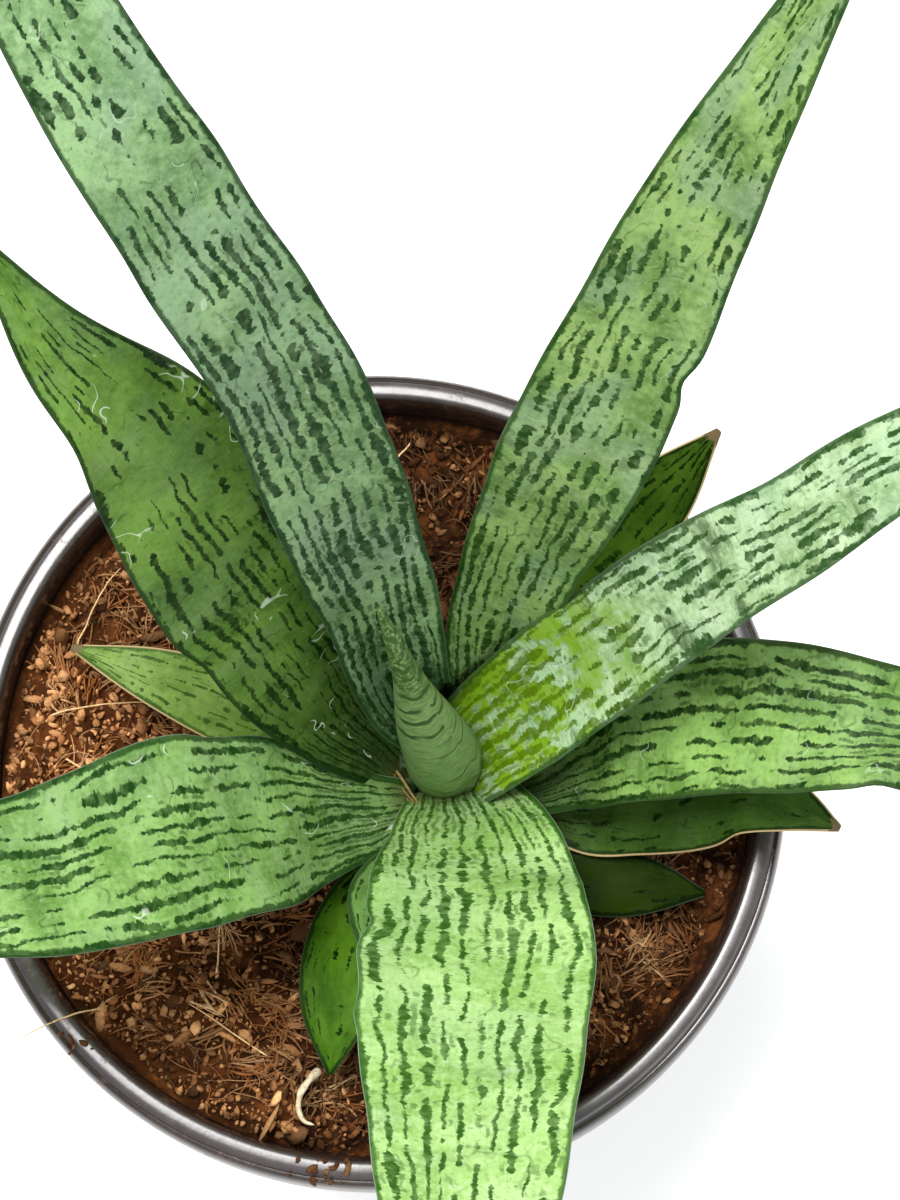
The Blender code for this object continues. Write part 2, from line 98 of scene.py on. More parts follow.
# Each leaf's route, in millimetres from the top of the crown, as the packed
# solids have it but with the base drawn on into the crown: (outward, aside,
# upward, width) from base to tip. heading is the way it grows, fold the channel's
# half angle at the base and at the tip, lean its tilt to one side and clasp how
# much further it closes at its foot, all in degrees.
LEAVES = {
    "leaf_back_left_tall": dict(
        heading=123, fold=(68, 16), lean=0, clasp=44,
        stations=((9.8, 2.4, -4, 11.8), (10.4, 2.4, 2, 12.8), (13.2, 1.4, 20, 12.8),
                  (20, 3, 40, 15.6), (30, 4, 62, 18), (41, 5, 80, 18), (57, 3, 104, 17),
                  (74, 1, 124, 15), (89, 1, 136, 11), (101, 0, 144, 1))),
    "leaf_right_upper": dict(
        heading=27, fold=(56, 12), lean=-7,
        stations=((3.8, -2.5, -3, 12.5), (6.5, -2.6, 3, 14.6), (15.5, -3.4, 14, 17.4),
                  (26, -3.4, 30, 17.6), (38, -3.2, 47, 16.4), (51, -2, 62, 14),
                  (65, -2, 74, 12), (79, -1, 82, 8), (92, 0, 88, 1))),
    "leaf_back_right_tall": dict(
        heading=59, fold=(30, 12), lean=-12,
        stations=((5, -0.5, -3, 9), (11.5, -1, 2, 10.5), (19.5, -3.5, 18, 13.5),
                  (29, -4.3, 40, 16.6), (39, -3.5, 61, 19.5), (51, -3, 79, 18),
                  (63, -3, 96, 15), (75, -2, 112, 10.5), (87, -1, 124, 6), (96, 0, 132, 1))),
    "leaf_left_middle": dict(
        heading=137, fold=(36, 12), lean=0,
        stations=((5, -2, -1, 9), (10, -2, 3, 12), (16, -3, 9.5, 16), (22, -3, 20, 20),
                  (35, -2, 46, 26), (51, 0, 70, 21), (66, -1, 88, 9), (78, 1, 96, 1))),
    "leaf_front_broad": dict(
        heading=-89, fold=(28, 12), lean=0,
        stations=((0, -2, -2, 14), (5, -3, 4.5, 19.5), (12, -4, 14, 25.5), (19, -4, 26, 30),
                  (28, -4, 36, 32), (41, -3, 48, 29), (60, -2, 62, 23), (71, -1, 68, 18),
                  (80, -1, 72, 11), (88, 0, 74, 1))),
    "leaf_left_lower": dict(
        heading=-166, fold=(30, 10), lean=0,
        stations=((5, -1.5, 0, 8), (10.5, -1.5, 2.6, 11.5), (18, -1, 8, 17.2), (25, -1, 17, 24),
                  (38, -2, 33, 27), (54, -4, 43, 23), (71, -3, 50, 18), (83, -2, 52, 12),
                  (93, 0, 53, 1))),
    "leaf_right_lower": dict(
        heading=-1, fold=(45, 10), lean=0,
        stations=((6, 0, -2, 8), (13, -1, 2.5, 10.5), (19, -4, 8, 16), (25, -6, 16, 20),
                  (38, -7, 27, 22), (52, -5, 36, 20), (71, -2, 44, 14), (82, -1, 47, 9),
                  (92, 1, 48, 1))),
    "leaf_back_right_small": dict(
        heading=50, fold=(40, 15), lean=0,
        stations=((15, -1, -0.5, 7), (24, -4, 6.5, 12), (32, -3, 14, 14), (42, -2, 21, 13),
                  (50, -1, 26, 10), (60, 0, 33, 1))),
    "leaf_left_small": dict(
        heading=160, fold=(40, 15), lean=0,
        stations=((13, -1, -1, 8), (20, 0, 1, 11), (31, 0, 5, 12), (44, 0, 8, 9),
                  (58, 0, 8, 1))),
    "leaf_right_shaded": dict(
        heading=-9, fold=(40, 15), lean=0,
        stations=((16, 1, -1, 8), (22, 1, 0, 11), (29, 0, 4.3, 12), (37, -2, 11.5, 13),
                  (43, -3, 18, 11), (50, -2, 21, 7), (56, 0, 23, 1))),
    "leaf_front_right_small": dict(
        heading=-22, fold=(35, 15), lean=0,
        stations=((14, 6.6, -1.5, 5.5), (20, 6.2, -0.6, 8.4), (27, 4.2, 0.8, 9.8),
                  (35, 2.0, 3, 7), (41, 0.6, 5, 1))),
    "leaf_front_left_tucked": dict(
        heading=-112, fold=(40, 15), lean=0,
        stations=((11.5, 1.5, 0, 4), (14.5, 2.5, 4.5, 6), (20, 3, 11, 7), (25, 1, 15, 5),
                  (29, 0, 18, 1))),
    "leaf_front_left_small": dict(
        heading=-111, fold=(35, 15), lean=0,
        stations=((13, 3, -1.5, 6), (17, 4, 0, 9), (24, 5, 4, 11), (32, 4, 8, 11),
                  (38, 2, 9, 9), (45, 0, 9, 1))),
}

# How each leaf is coloured and marked. slot is its material slot, seed picks its
# noises, and these always stand:
#   light, dark  the two tones of the ground      dash     the colour of the marks
#   rows         rows of dashes along the leaf    density  how full they are
#   broken       how short the dashes are         broad    how wide they are
#   wave         ripple of the margins in millimetres
# The rest are left out where they have their usual value from PLAIN:
#   bands, powder, cool  strength of the cross bands, the flecks and the cool clouds
#   rise, thin   how much brighter it is towards the tip, as painted light where the arching leaf faces the light, and how much less marked it is there
#   base         (brightness of the foot, how far up it reaches): painted shade
#                where the crown and the leaves above shade the foot
#   scuffs, hair, rim    old scuffs, the pale line on the margin, the dark band's width
#   dry          share of the leaf, from its tip, that has dried
#   gloss        specular level
#   heart, heart_reach   colour of the fresh patch at the foot, and how far it reaches
PLAIN = dict(bands=0.3, powder=0.4, cool=0.15, rise=0.0, thin=0.0, base=(0.55, 0.22), scuffs=0.0,
             hair=0.07, rim=1.3, dry=0.0, gloss=0.13)
SKINS = {
    "leaf_back_left_tall": dict(
        slot="leaf_grey_green", light=(0.215, 0.345, 0.155), dark=(0.105, 0.195, 0.075),
        dash=(0.008, 0.036, 0.006), rows=9, density=0.59, broken=0.20, broad=0.70,
        wave=0.35, seed=3.0, bands=0.5, powder=1.0, rise=0.40, scuffs=0.4, cool=0.5, thin=0.10),
    "leaf_right_upper": dict(
        slot="leaf_pale_green", light=(0.46, 0.63, 0.36), dark=(0.21, 0.34, 0.14),
        dash=(0.022, 0.070, 0.012), rows=8, density=0.55, broken=0.16, broad=0.66,
        wave=0.2, seed=11.0, bands=1.3, powder=0.9, scuffs=0.7, cool=0.35, thin=0.04,
        base=(0.8, 0.2), heart=(0.20, 0.37, 0.006), heart_reach=0.46),
    "leaf_back_right_tall": dict(
        slot="leaf_lime_green", light=(0.270, 0.42, 0.130), dark=(0.120, 0.225, 0.055),
        dash=(0.012, 0.050, 0.004), rows=9, density=0.55, broken=0.20, broad=0.64,
        wave=0.3, seed=23.0, bands=0.8, powder=0.8, rise=0.05, scuffs=0.2, cool=0.45, thin=0.06),
    "leaf_left_middle": dict(
        slot="leaf_mid_green", light=(0.155, 0.29, 0.048), dark=(0.070, 0.155, 0.020),
        dash=(0.004, 0.022, 0.001), rows=12, density=0.53, broken=0.14, broad=0.50,
        wave=0.55, seed=37.0, bands=0.5, powder=0.6, scuffs=0.8, base=(0.26, 0.42),
        thin=0.06),
    "leaf_front_broad": dict(
        slot="leaf_lime_green", light=(0.40, 0.61, 0.225), dark=(0.24, 0.43, 0.100),
        dash=(0.026, 0.092, 0.008), rows=11, density=0.56, broken=0.20, broad=0.50,
        wave=0.5, seed=41.0, bands=0.5, powder=1.0, hair=0.6, scuffs=0.2, base=(0.7, 0.2)),
    "leaf_left_lower": dict(
        slot="leaf_lime_green", light=(0.26, 0.45, 0.130), dark=(0.130, 0.265, 0.055),
        dash=(0.009, 0.044, 0.004), rows=11, density=0.55, broken=0.15, broad=0.52,
        wave=0.6, seed=53.0, bands=0.6, powder=0.9, hair=0.3, scuffs=0.7, base=(0.55, 0.3),
        rim=1.9),
    "leaf_right_lower": dict(
        slot="leaf_lime_green", light=(0.245, 0.42, 0.105), dark=(0.110, 0.22, 0.042),
        dash=(0.007, 0.032, 0.002), rows=10, density=0.56, broken=0.13, broad=0.54,
        wave=0.4, seed=67.0, bands=0.5, powder=0.7, scuffs=0.3, base=(0.14, 0.34), rim=1.7),
    "leaf_back_right_small": dict(
        slot="leaf_mid_green", light=(0.052, 0.108, 0.008), dark=(0.022, 0.056, 0.003),
        dash=(0.004, 0.016, 0.001), rows=6, density=0.55, broken=0.30, broad=0.55,
        wave=0.2, seed=71.0, dry=0.045, gloss=0.03, cool=0.0, powder=0.2),
    "leaf_left_small": dict(
        slot="leaf_mid_green", light=(0.215, 0.345, 0.075), dark=(0.125, 0.225, 0.034),
        dash=(0.030, 0.080, 0.005), rows=8, density=0.50, broken=0.4, broad=0.50,
        wave=0.2, seed=83.0, dry=0.04, powder=0.6, cool=0.0),
    # Painted shade: this leaf lies under the right-hand leaves, and its tones are made dark for
    # their shadow.
    "leaf_right_shaded": dict(
        slot="leaf_deep_green", light=(0.065, 0.135, 0.022), dark=(0.028, 0.068, 0.008),
        dash=(0.006, 0.020, 0.002), rows=6, density=0.42, broken=0.2, broad=0.45,
        wave=0.4, seed=97.0, dry=0.03, gloss=0.06, cool=0.0, powder=0.2),
    # Painted shade: this small leaf lies in deep shadow among the leaves at the crown, and its
    # tones are made nearly black-green for it.
    "leaf_front_right_small": dict(
        slot="leaf_deep_green", light=(0.014, 0.030, 0.001), dark=(0.007, 0.018, 0.0006),
        dash=(0.002, 0.006, 0.0003), rows=5, density=0.40, broken=0.3, broad=0.45,
        wave=0.2, seed=101.0, gloss=0.02, cool=0.0, powder=0.2),
    "leaf_front_left_tucked": dict(
        slot="leaf_mid_green", light=(0.13, 0.26, 0.060), dark=(0.070, 0.15, 0.026),
        dash=(0.010, 0.036, 0.004), rows=5, density=0.48, broken=0.3, broad=0.5,
        wave=0.2, seed=113.0),
    "leaf_front_left_small": dict(
        slot="leaf_mid_green", light=(0.062, 0.150, 0.008), dark=(0.026, 0.078, 0.003),
        dash=(0.004, 0.016, 0.001), rows=6, density=0.45, broken=0.3, broad=0.50,
        wave=0.2, seed=127.0, gloss=0.03, cool=0.0, powder=0.25),
}

# Bites out of a leaf's margin, in millimetres: (side, how far outward, depth,
# half length). A negative depth is a bump.
NOTCHES = {
    "leaf_back_right_tall": ((1, 50, 1.0, 1.5),),
    "leaf_front_broad": ((1, 24, 1.2, 2.0), (1, 38, -0.6, 1.6)),
    "leaf_left_middle": ((-1, 31, 1.0, 2.6), (-1, 36, -0.5, 3.0)),
    "leaf_right_lower": ((1, 60, 0.8, 2.5),),
}

SPEAR = dict(
    heading=119,
    stations=((3.0, 1.7, -2, 10.8), (3.6, 1.8, 4, 11.2), (5.0, 1.4, 12, 10.2),
              (6.8, 0.9, 21, 8.6), (9.0, 0.5, 33, 5.9), (11.4, 0.3, 45, 3.5),
              (14.0, 0.2, 53, 2.4), (17.0, 0, 61, 0.8)))

# Dry threads of old leaf sheath left of the spear, in millimetres from the top
# of the crown: the route, the thickness and how pale it is.
SHEATH = (
    (((-7.6, 3.4, 1.0), (-6.0, 1.0, 2.4), (-4.6, -1.2, 2.2), (-2.4, -3.8, 1.0)), 0.26, 1.0),
    (((-7.2, 1.6, 0.8), (-5.6, -0.8, 1.8), (-3.9, -2.6, 1.8), (-1.4, -4.2, 0.8)), 0.22, 0.55),
    (((-8.6, 4.4, 0.6), (-7.4, 2.2, 1.6), (-6.4, -0.6, 1.2), (-4.8, -3.2, 0.4)), 0.30, 0.15),
    (((-6.4, -0.4, 0.6), (-5.0, -2.2, 1.6), (-3.6, -4.4, 1.4), (-3.0, -5.6, 0.6)), 0.20, 0.85),
)
SHEATH_STUBS = 26

# The root tip's route, in millimetres from the pot's axis and from the coir.
SPROUT = ((-8.2, -43.2, -1.0), (-9.4, -44.6, 1.2), (-10.6, -46.6, 1.9), (-10.8, -48.8, 1.6),
          (-10.0, -50.4, 1.2), (-8.6, -50.9, 0.9))

# Long pale fibres: the turn about the pot's middle and the reach at which each
# starts, the way it goes, both turns in degrees, and its length in millimetres.
LONG_FIBRES = ((-139, 51, 205, 13), (170, 50, 20, 16), (176, 47, -35, 19), (158, 49, 60, 15),
               (186, 52, -60, 14), (-128, 38, 80, 17), (-110, 44, 150, 15), (-152, 46, 10, 18),
               (84, 52, -120, 12), (-60, 46, 70, 12))

# Colours that more than one skin shares, or that stand for one thing.
LEAF_FOOT = (0.050, 0.045, 0.010)
SCUFF = (0.72, 0.80, 0.66)
HEART_MARGIN = (0.022, 0.070, 0.014)
MARGIN_HAIR = (0.45, 0.60, 0.42)
# Dark coir: the colour of stained crumbs and of the painted shade on the coir.
DARK_COIR_AND_SHADE = (0.026, 0.007, 0.001)
PALE_CRUMB = (1.0, 0.53, 0.23)
BROWN_FIBRE = (0.38, 0.135, 0.036)
COIR_DUST = (0.16, 0.085, 0.05)

# The stage: lights at a place, of a size, aimed at the pot's top, and the camera's
# aim and tilt. The floor glows a little, so that it stays plain white.
KEY_PLACE, KEY_SIZE = (-0.31, 0.38, 1.45), 0.8
FILL_PLACE, FILL_SIZE, FILL_SHARE = (0.9, -0.8, 1.0), 1.2, 0.22
SKY_COLOUR = (0.96, 0.98, 1.0)
CAMERA_AIM = Vector((10.9 * MM, 25.3 * MM, POT_TOP))
CAMERA_TILT = math.radians(78.44)
FLOOR_REACH = 30.0
FLOOR_GLOW = 0.38


# ---------------------------------------------------------------- settings


class PotSettings(bpy.types.PropertyGroup):
    wall: FloatProperty(name="Wall", description="Thickness of the plastic",
                        default=1.2 * MM, min=0.5 * MM, max=4 * MM, unit="LENGTH")
    colour: FloatVectorProperty(name="Plastic", description="Colour of the pot's plastic",
                                default=(0.020, 0.012, 0.010), subtype="COLOR", min=0, max=1)
    # The lip ridges' grey is partly real wear and partly a painted highlight where the ridges
    # catch the light.
    wear_and_highlight: FloatVectorProperty(name="Worn lip", description="Colour of the lip's worn ridges",
                              default=(0.060, 0.050, 0.050), subtype="COLOR", min=0, max=1)
    roughness: FloatProperty(name="Roughness", description="How dull the plastic is",
                             default=0.22, min=0.0, max=1.0, subtype="FACTOR")
    segments: IntProperty(name="Segments", description="Steps round the pot",
                          default=160, min=24, max=512)


class CoirSettings(bpy.types.PropertyGroup):
    crumbs: IntProperty(name="Crumbs", description="Clumps of pith lying on the coir",
                        default=11000, min=0, max=20000)
    fibres: IntProperty(name="Fibres", description="Loose coconut fibres",
                        default=1100, min=0, max=5000)
    bundles: IntProperty(name="Bundles", description="Bundles of fibres in torn husk",
                         default=330, min=0, max=1000)
    relief: FloatProperty(name="Relief", description="Height of the lumps in the coir",
                          default=2.6 * MM, min=0.0, max=8 * MM, unit="LENGTH")
    pith: FloatVectorProperty(name="Pith", description="Colour of the coir's pith",
                              default=(0.27, 0.082, 0.018), subtype="COLOR", min=0, max=1)
    straw: FloatVectorProperty(name="Straw", description="Colour of the palest fibres",
                               default=(0.92, 0.62, 0.32), subtype="COLOR", min=0, max=1)


class LeafSettings(bpy.types.PropertyGroup):
    step: FloatProperty(name="Step", description="Distance between rings along a leaf",
                        default=1.1 * MM, min=0.3 * MM, max=5 * MM, unit="LENGTH")
    across: IntProperty(name="Across", description="Points across one face of a leaf",
                        default=27, min=7, max=99)
    midrib: FloatProperty(name="Thickness", description="Thickness along a leaf's middle",
                          default=2.0 * MM, min=0.5 * MM, max=5 * MM, unit="LENGTH")
    roughness: FloatProperty(name="Roughness", description="How dull the waxy skin is",
                             default=0.42, min=0.0, max=1.0, subtype="FACTOR")
    dry_margin: FloatVectorProperty(name="Dry margin", description="Colour of dried skin",
                                    default=(0.55, 0.40, 0.20), subtype="COLOR", min=0, max=1)


class StageSettings(bpy.types.PropertyGroup):
    floor: FloatVectorProperty(name="Floor", description="Colour of the floor",
                               default=(0.95, 0.95, 0.95), subtype="COLOR", min=0, max=1)
    key: FloatProperty(name="Key light", description="Power of the large soft light",
                       default=26.0, min=0.0, max=500.0, unit="POWER")
    sky: FloatProperty(name="Sky", description="Strength of the even light from all round",
                       default=0.58, min=0.0, max=5.0, subtype="FACTOR")
    distance: FloatProperty(name="Camera distance", description="Camera to the middle of the view",
                            default=0.4468, min=0.1, max=5.0, unit="LENGTH")
    lens: FloatProperty(name="Lens", description="Focal length for a 36 mm wide frame, in mm",
                        default=90.9, min=10.0, max=300.0, unit="CAMERA")


# ---------------------------------------------------------------- meshes


def smooth_step(low, high, value):
    """0 below low and 1 above high, smooth between; high may be below low."""
    share = np.clip((np.asarray(value, float) - low) / (high - low), 0, 1)
    return share * share * (3 - 2 * share)


def read_curve(stations, places):
    """A smooth curve through the stations, read at places (0 to 1 along it).
    Each station is a row of numbers whose first three are its point."""
    rows = np.array(stations, float)
    gaps = np.linalg.norm(np.diff(rows[:, :3], axis=0), axis=1)
    marks = np.concatenate([[0], np.cumsum(gaps)])
    steps = np.diff(rows, axis=0) / gaps[:, None]
    slopes = np.zeros_like(rows)
    slopes[0], slopes[-1] = steps[0], steps[-1]
    before, after = gaps[:-1, None], gaps[1:, None]
    slopes[1:-1] = (steps[:-1] * after + steps[1:] * before) / (before + after)
    where = np.asarray(places, float) * marks[-1]
    index = np.clip(np.searchsorted(marks, where, side="right") - 1, 0, len(gaps) - 1)
    span = gaps[index][:, None]
    t = ((where - marks[index]) / gaps[index])[:, None]
    return ((2 * t ** 3 - 3 * t ** 2 + 1) * rows[index]
            + (t ** 3 - 2 * t ** 2 + t) * span * slopes[index]
            + (3 * t ** 2 - 2 * t ** 3) * rows[index + 1]
            + (t ** 3 - t ** 2) * span * slopes[index + 1]), marks[-1]


def growth_frames(stations, heading, places):
    """Points along a leaf's middle with its across and upper vectors, its widths
    and its length, all in metres."""
    turn = math.radians(heading)
    outward = np.array([math.cos(turn), math.sin(turn), 0])
    aside = np.array([math.sin(turn), -math.cos(turn), 0])
    up = np.array([0, 0, 1.0])
    nearby = 0.01

    def spots(at):
        read, length = read_curve(stations, at)
        path = read[:, 0:1] * outward + read[:, 1:2] * aside + read[:, 2:3] * up
        return np.array(LEAF_ROOT) + MM * path, MM * read[:, 3], MM * length

    middle, width, length = spots(places)
    along = spots(np.minimum(1, places + nearby))[0] - spots(np.maximum(0, places - nearby))[0]
    along /= np.linalg.norm(along, axis=1)[:, None]
    across = np.cross(along, up)
    across /= np.linalg.norm(across, axis=1)[:, None]
    upper = np.cross(across, along)
    return middle, across, upper, width, length


def fold_at(fold, places):
    """The channel's half angle: deep at the base, opening by the middle."""
    return np.radians(fold[0] + (fold[1] - fold[0]) * smooth_step(0, 0.45, places))


def mesh_of(name, points, faces, uv_maps=None, face_slots=None):
    """A mesh from an array of points and a list of faces. uv_maps holds, by
    name, one pair for each corner of each face."""
    made = bpy.data.meshes.new(name)
    made.from_pydata(np.asarray(points).tolist(), [], faces)
    for key, corners in (uv_maps or {}).items():
        layer = made.uv_layers.new(name=key)
        layer.data.foreach_set("uv", np.asarray(corners, np.float32).ravel())
    if face_slots is not None:
        made.polygons.foreach_set("material_index", np.asarray(face_slots, np.int32))
    made.shade_smooth()
    made.update()
    return made


def add_piece(name, mesh_data, finishes, replaced=()):
    """Put a piece in the scene, riding on the plant's one body."""
    made = bpy.data.objects.new(name, mesh_data)
    bpy.context.scene.collection.objects.link(made)
    for finish in finishes:
        made.data.materials.append(finish)
    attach(made, "root")
    if replaced:
        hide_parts(*replaced)
    return made


def ring_faces(count, around, start=0):
    """Faces of a closed sleeve of rings of points: its quads, then its two ends.
    Gives also the ring and the step of each quad."""
    row, step = np.meshgrid(np.arange(count - 1), np.arange(around), indexing="ij")
    row, step = row.ravel(), step.ravel()
    after = (step + 1) % around
    quads = np.stack([row * around + step, (row + 1) * around + step,
                      (row + 1) * around + after, row * around + after], axis=1)
    rings = np.arange(start, start + count * around).reshape(count, around)
    faces = (start + quads).tolist() + [rings[0].tolist(), rings[-1, ::-1].tolist()]
    return faces, row, step


def sleeve(name, rings, corner_maps=None, slots=None):
    """Join rings of points (rings x points x 3) into a closed sleeve with
    capped ends. corner_maps gives, by name, a (rings x points + 1 x 2) array."""
    count, around = rings.shape[:2]
    faces, row, step = ring_faces(count, around)
    uv_maps = {}
    for key, grid in (corner_maps or {}).items():
        corners = np.stack([grid[row, step], grid[row + 1, step],
                            grid[row + 1, step + 1], grid[row, step + 1]], axis=1)
        ends = [grid[0, :around], grid[-1, :around][::-1]]
        if key == "OFBake":
            ends = [end * 0 + end[:1] for end in ends]
        uv_maps[key] = np.concatenate([corners.reshape(-1, 2)] + ends)
    face_slots = None if slots is None else list(slots[step]) + [0, 0]
    return mesh_of(name, rings.reshape(-1, 3), faces, uv_maps, face_slots)


def corner_grid(u, v):
    """A UV map over rings of points: u along each ring, v from ring to ring."""
    return np.stack(np.broadcast_arrays(u, v[:, None]), axis=2)


def bake_grid(around, places):
    """The unwrapped sleeve, just inside the unit square."""
    return corner_grid(np.linspace(0.01, 0.99, around + 1), 0.01 + 0.98 * places)


def circles(across, upper, turn):
    """A unit circle for each pair of across and upper vectors, with points at turn."""
    return (across[:, None] * np.cos(turn)[None, :, None]
            + upper[:, None] * np.sin(turn)[None, :, None])


def polar(radius, turn):
    """x and y at each radius (rows) and turn (columns)."""
    return radius[:, None] * np.cos(turn)[None, :], radius[:, None] * np.sin(turn)[None, :]


def round_steps(count):
    return np.linspace(0, TAU, count, endpoint=False)


# ---------------------------------------------------------------- materials


class Finish:
    """A material's node tree, written as nested calls."""

    def __init__(self, name):
        self.material = bpy.data.materials.new(name)
        self.material.use_nodes = True
        self.tree = self.material.node_tree
        self.shader = self.tree.nodes["Principled BSDF"]

    def put(self, socket, value):
        if isinstance(value, bpy.types.NodeSocket):
            self.tree.links.new(value, socket)
        elif isinstance(value, (tuple, list)) and len(value) == 3 and socket.type == "RGBA":
            socket.default_value = (*value, 1.0)
        else:
            socket.default_value = value

    def node(self, kind, sockets=(), **settings):
        made = self.tree.nodes.new(kind)
        for key, value in settings.items():
            setattr(made, key, value)
        for key, value in dict(sockets).items():
            self.put(made.inputs[key], value)
        return made

    def math(self, operation, first, second=0.0, clamp=False):
        made = self.node("ShaderNodeMath", operation=operation, use_clamp=clamp)
        self.put(made.inputs[0], first)
        self.put(made.inputs[1], second)
        return made.outputs[0]

    def add(self, first, second):
        return self.math("ADD", first, second)

    def times(self, first, second):
        return self.math("MULTIPLY", first, second)

    def swing(self, noise, reach):
        """A noise's swing either way from its middle, times reach."""
        return self.times(self.add(noise, -0.5), reach)

    def off_middle(self, value):
        """How far a value from 0 to 1 is from its middle."""
        return self.math("ABSOLUTE", self.add(value, -0.5))

    def step(self, value, low, high):
        """0 below low and 1 above high, smooth between; high may be below low."""
        made = self.node("ShaderNodeMapRange", interpolation_type="SMOOTHSTEP",
                         sockets={"Value": value, "From Min": low, "From Max": high})
        return made.outputs[0]

    def point(self, x, y, z=0.0):
        made = self.node("ShaderNodeCombineXYZ", sockets={"X": x, "Y": y, "Z": z})
        return made.outputs[0]

    def noise(self, at, scale=1.0, detail=2.0, roughness=0.5):
        made = self.node("ShaderNodeTexNoise", sockets={
            "Vector": at, "Scale": scale, "Detail": detail, "Roughness": roughness})
        return made.outputs["Fac"]

    def streaks(self, spot, across, along, seed, detail=2.0, roughness=0.5):
        """Noise on a blade at spot, (across, along), with its own scale each way."""
        at = self.point(self.times(spot[0], across), self.times(spot[1], along), seed)
        return self.noise(at, 1.0, detail, roughness)

    def mix(self, share, first, second, blend="MIX"):
        made = self.node("ShaderNodeMix", data_type="RGBA", blend_type=blend)
        self.put(made.inputs[0], share)
        self.put(made.inputs[6], first)
        self.put(made.inputs[7], second)
        return made.outputs[2]

    def shaded(self, colour, shade):
        """A colour times one number."""
        return self.mix(1.0, colour, self.point(shade, shade, shade), "MULTIPLY")

    def uv(self, name):
        made = self.node("ShaderNodeUVMap", uv_map=name)
        split = self.node("ShaderNodeSeparateXYZ", sockets={"Vector": made.outputs[0]})
        return split.outputs[0], split.outputs[1]

    def place(self):
        return self.node("ShaderNodeTexCoord").outputs["Object"]

    def bump(self, height, strength, distance):
        return self.node("ShaderNodeBump", sockets={
            "Height": height, "Strength": strength, "Distance": distance}).outputs[0]

    def done(self, colour, roughness, bump=None, specular=0.5):
        """Set the shader's own sockets, and give the material."""
        wanted = {"Base Color": colour, "Roughness": roughness, "Specular IOR Level": specular}
        if bump is not None:
            wanted["Normal"] = bump
        for key, value in wanted.items():
            self.put(self.shader.inputs[key], value)
        return self.material


def toned(colour, share):
    return tuple(channel * share for channel in colour)


def leaf_marks(f, skin, blade, place, density):
    """How strongly each spot is marked: rows of ragged dark dashes along the
    veins, short specks between them and a few threads crosswise."""
    across, along = blade
    seed = skin["seed"]
    drift = f.streaks(blade, 1.2, 0.05, seed, 1.0)
    sway = f.streaks(blade, 3.0, 0.30, seed + 8.0)
    row = f.add(f.times(across, skin["rows"] / 2), f.swing(drift, 1.8))
    row = f.add(row, f.swing(sway, 0.8))
    cell = (f.math("FLOOR", row), along)
    off_row = f.off_middle(f.math("FRACT", row))

    # Dashes: where they start and stop, and how heavy they are, differs from
    # row to row and comes and goes along the leaf.
    run = f.streaks(cell, 7.31, skin["broken"], seed, 2.0, 0.6)
    weight = f.streaks(cell, 4.7, 0.045, seed + 31.0, 1.0)
    beads = f.streaks(cell, 3.7, 0.6, seed + 5.0, 2.0, 0.6)
    rags = f.streaks((row, along), 2.6, 1.9, seed, 4.0, 0.68)
    clusters = f.streaks(blade, 1.3, 0.10, seed + 1.0, 1.5)
    fuller = f.add(f.times(f.step(place, 0.32, 0.05), 0.12), f.swing(clusters, 0.50))
    fuller = f.add(fuller, f.times(f.step(place, 0.40, 0.80), -skin["thin"]))
    present = f.step(f.add(run, fuller), 0.92 - density, 1.05 - density)
    breadth = f.times(f.add(beads, -0.10), skin["broad"])
    breadth = f.times(breadth, f.add(0.45, f.times(f.step(weight, 0.34, 0.66), 0.75)))
    breadth = f.add(breadth, f.times(f.step(clusters, 0.60, 0.76), 0.12))
    ragged = f.add(off_row, f.swing(rags, 0.62))
    tapered = f.add(f.times(f.add(breadth, 0.25), present), -0.25)
    dashes = f.step(f.math("SUBTRACT", tapered, ragged), -0.045, 0.05)

    # Short thin marks between the rows.
    fine_row = f.add(f.times(row, 2.0), 0.37)
    fine_off = f.off_middle(f.math("FRACT", fine_row))
    specks = f.streaks((f.math("FLOOR", fine_row), along), 5.13, 0.5, seed + 9.0, 2.0, 0.6)
    fine_body = f.step(f.add(fine_off, f.swing(rags, 0.8)), 0.34, 0.16)
    fine_present = f.step(f.add(specks, f.times(fuller, 1.3)), 1.13 - density, 1.21 - density)
    specked = f.times(fine_body, fine_present)

    # Faint threads that join the rows crosswise.
    wander = f.streaks(blade, 1.6, 0.13, seed + 3.0)
    where = f.streaks(blade, 2.0, 0.16, seed + 7.0, 1.0)
    threads = f.times(f.step(f.off_middle(wander), 0.016, 0.004), f.step(where, 0.52, 0.60))
    marks = f.math("MAXIMUM", dashes, f.times(specked, 0.62))
    marks = f.math("MAXIMUM", marks, f.times(threads, 0.45))
    depth = f.streaks(blade, 5.0, 0.7, seed + 12.0, 2.0, 0.6)
    return f.times(marks, f.add(0.70, f.times(f.step(depth, 0.30, 0.62), 0.30)))


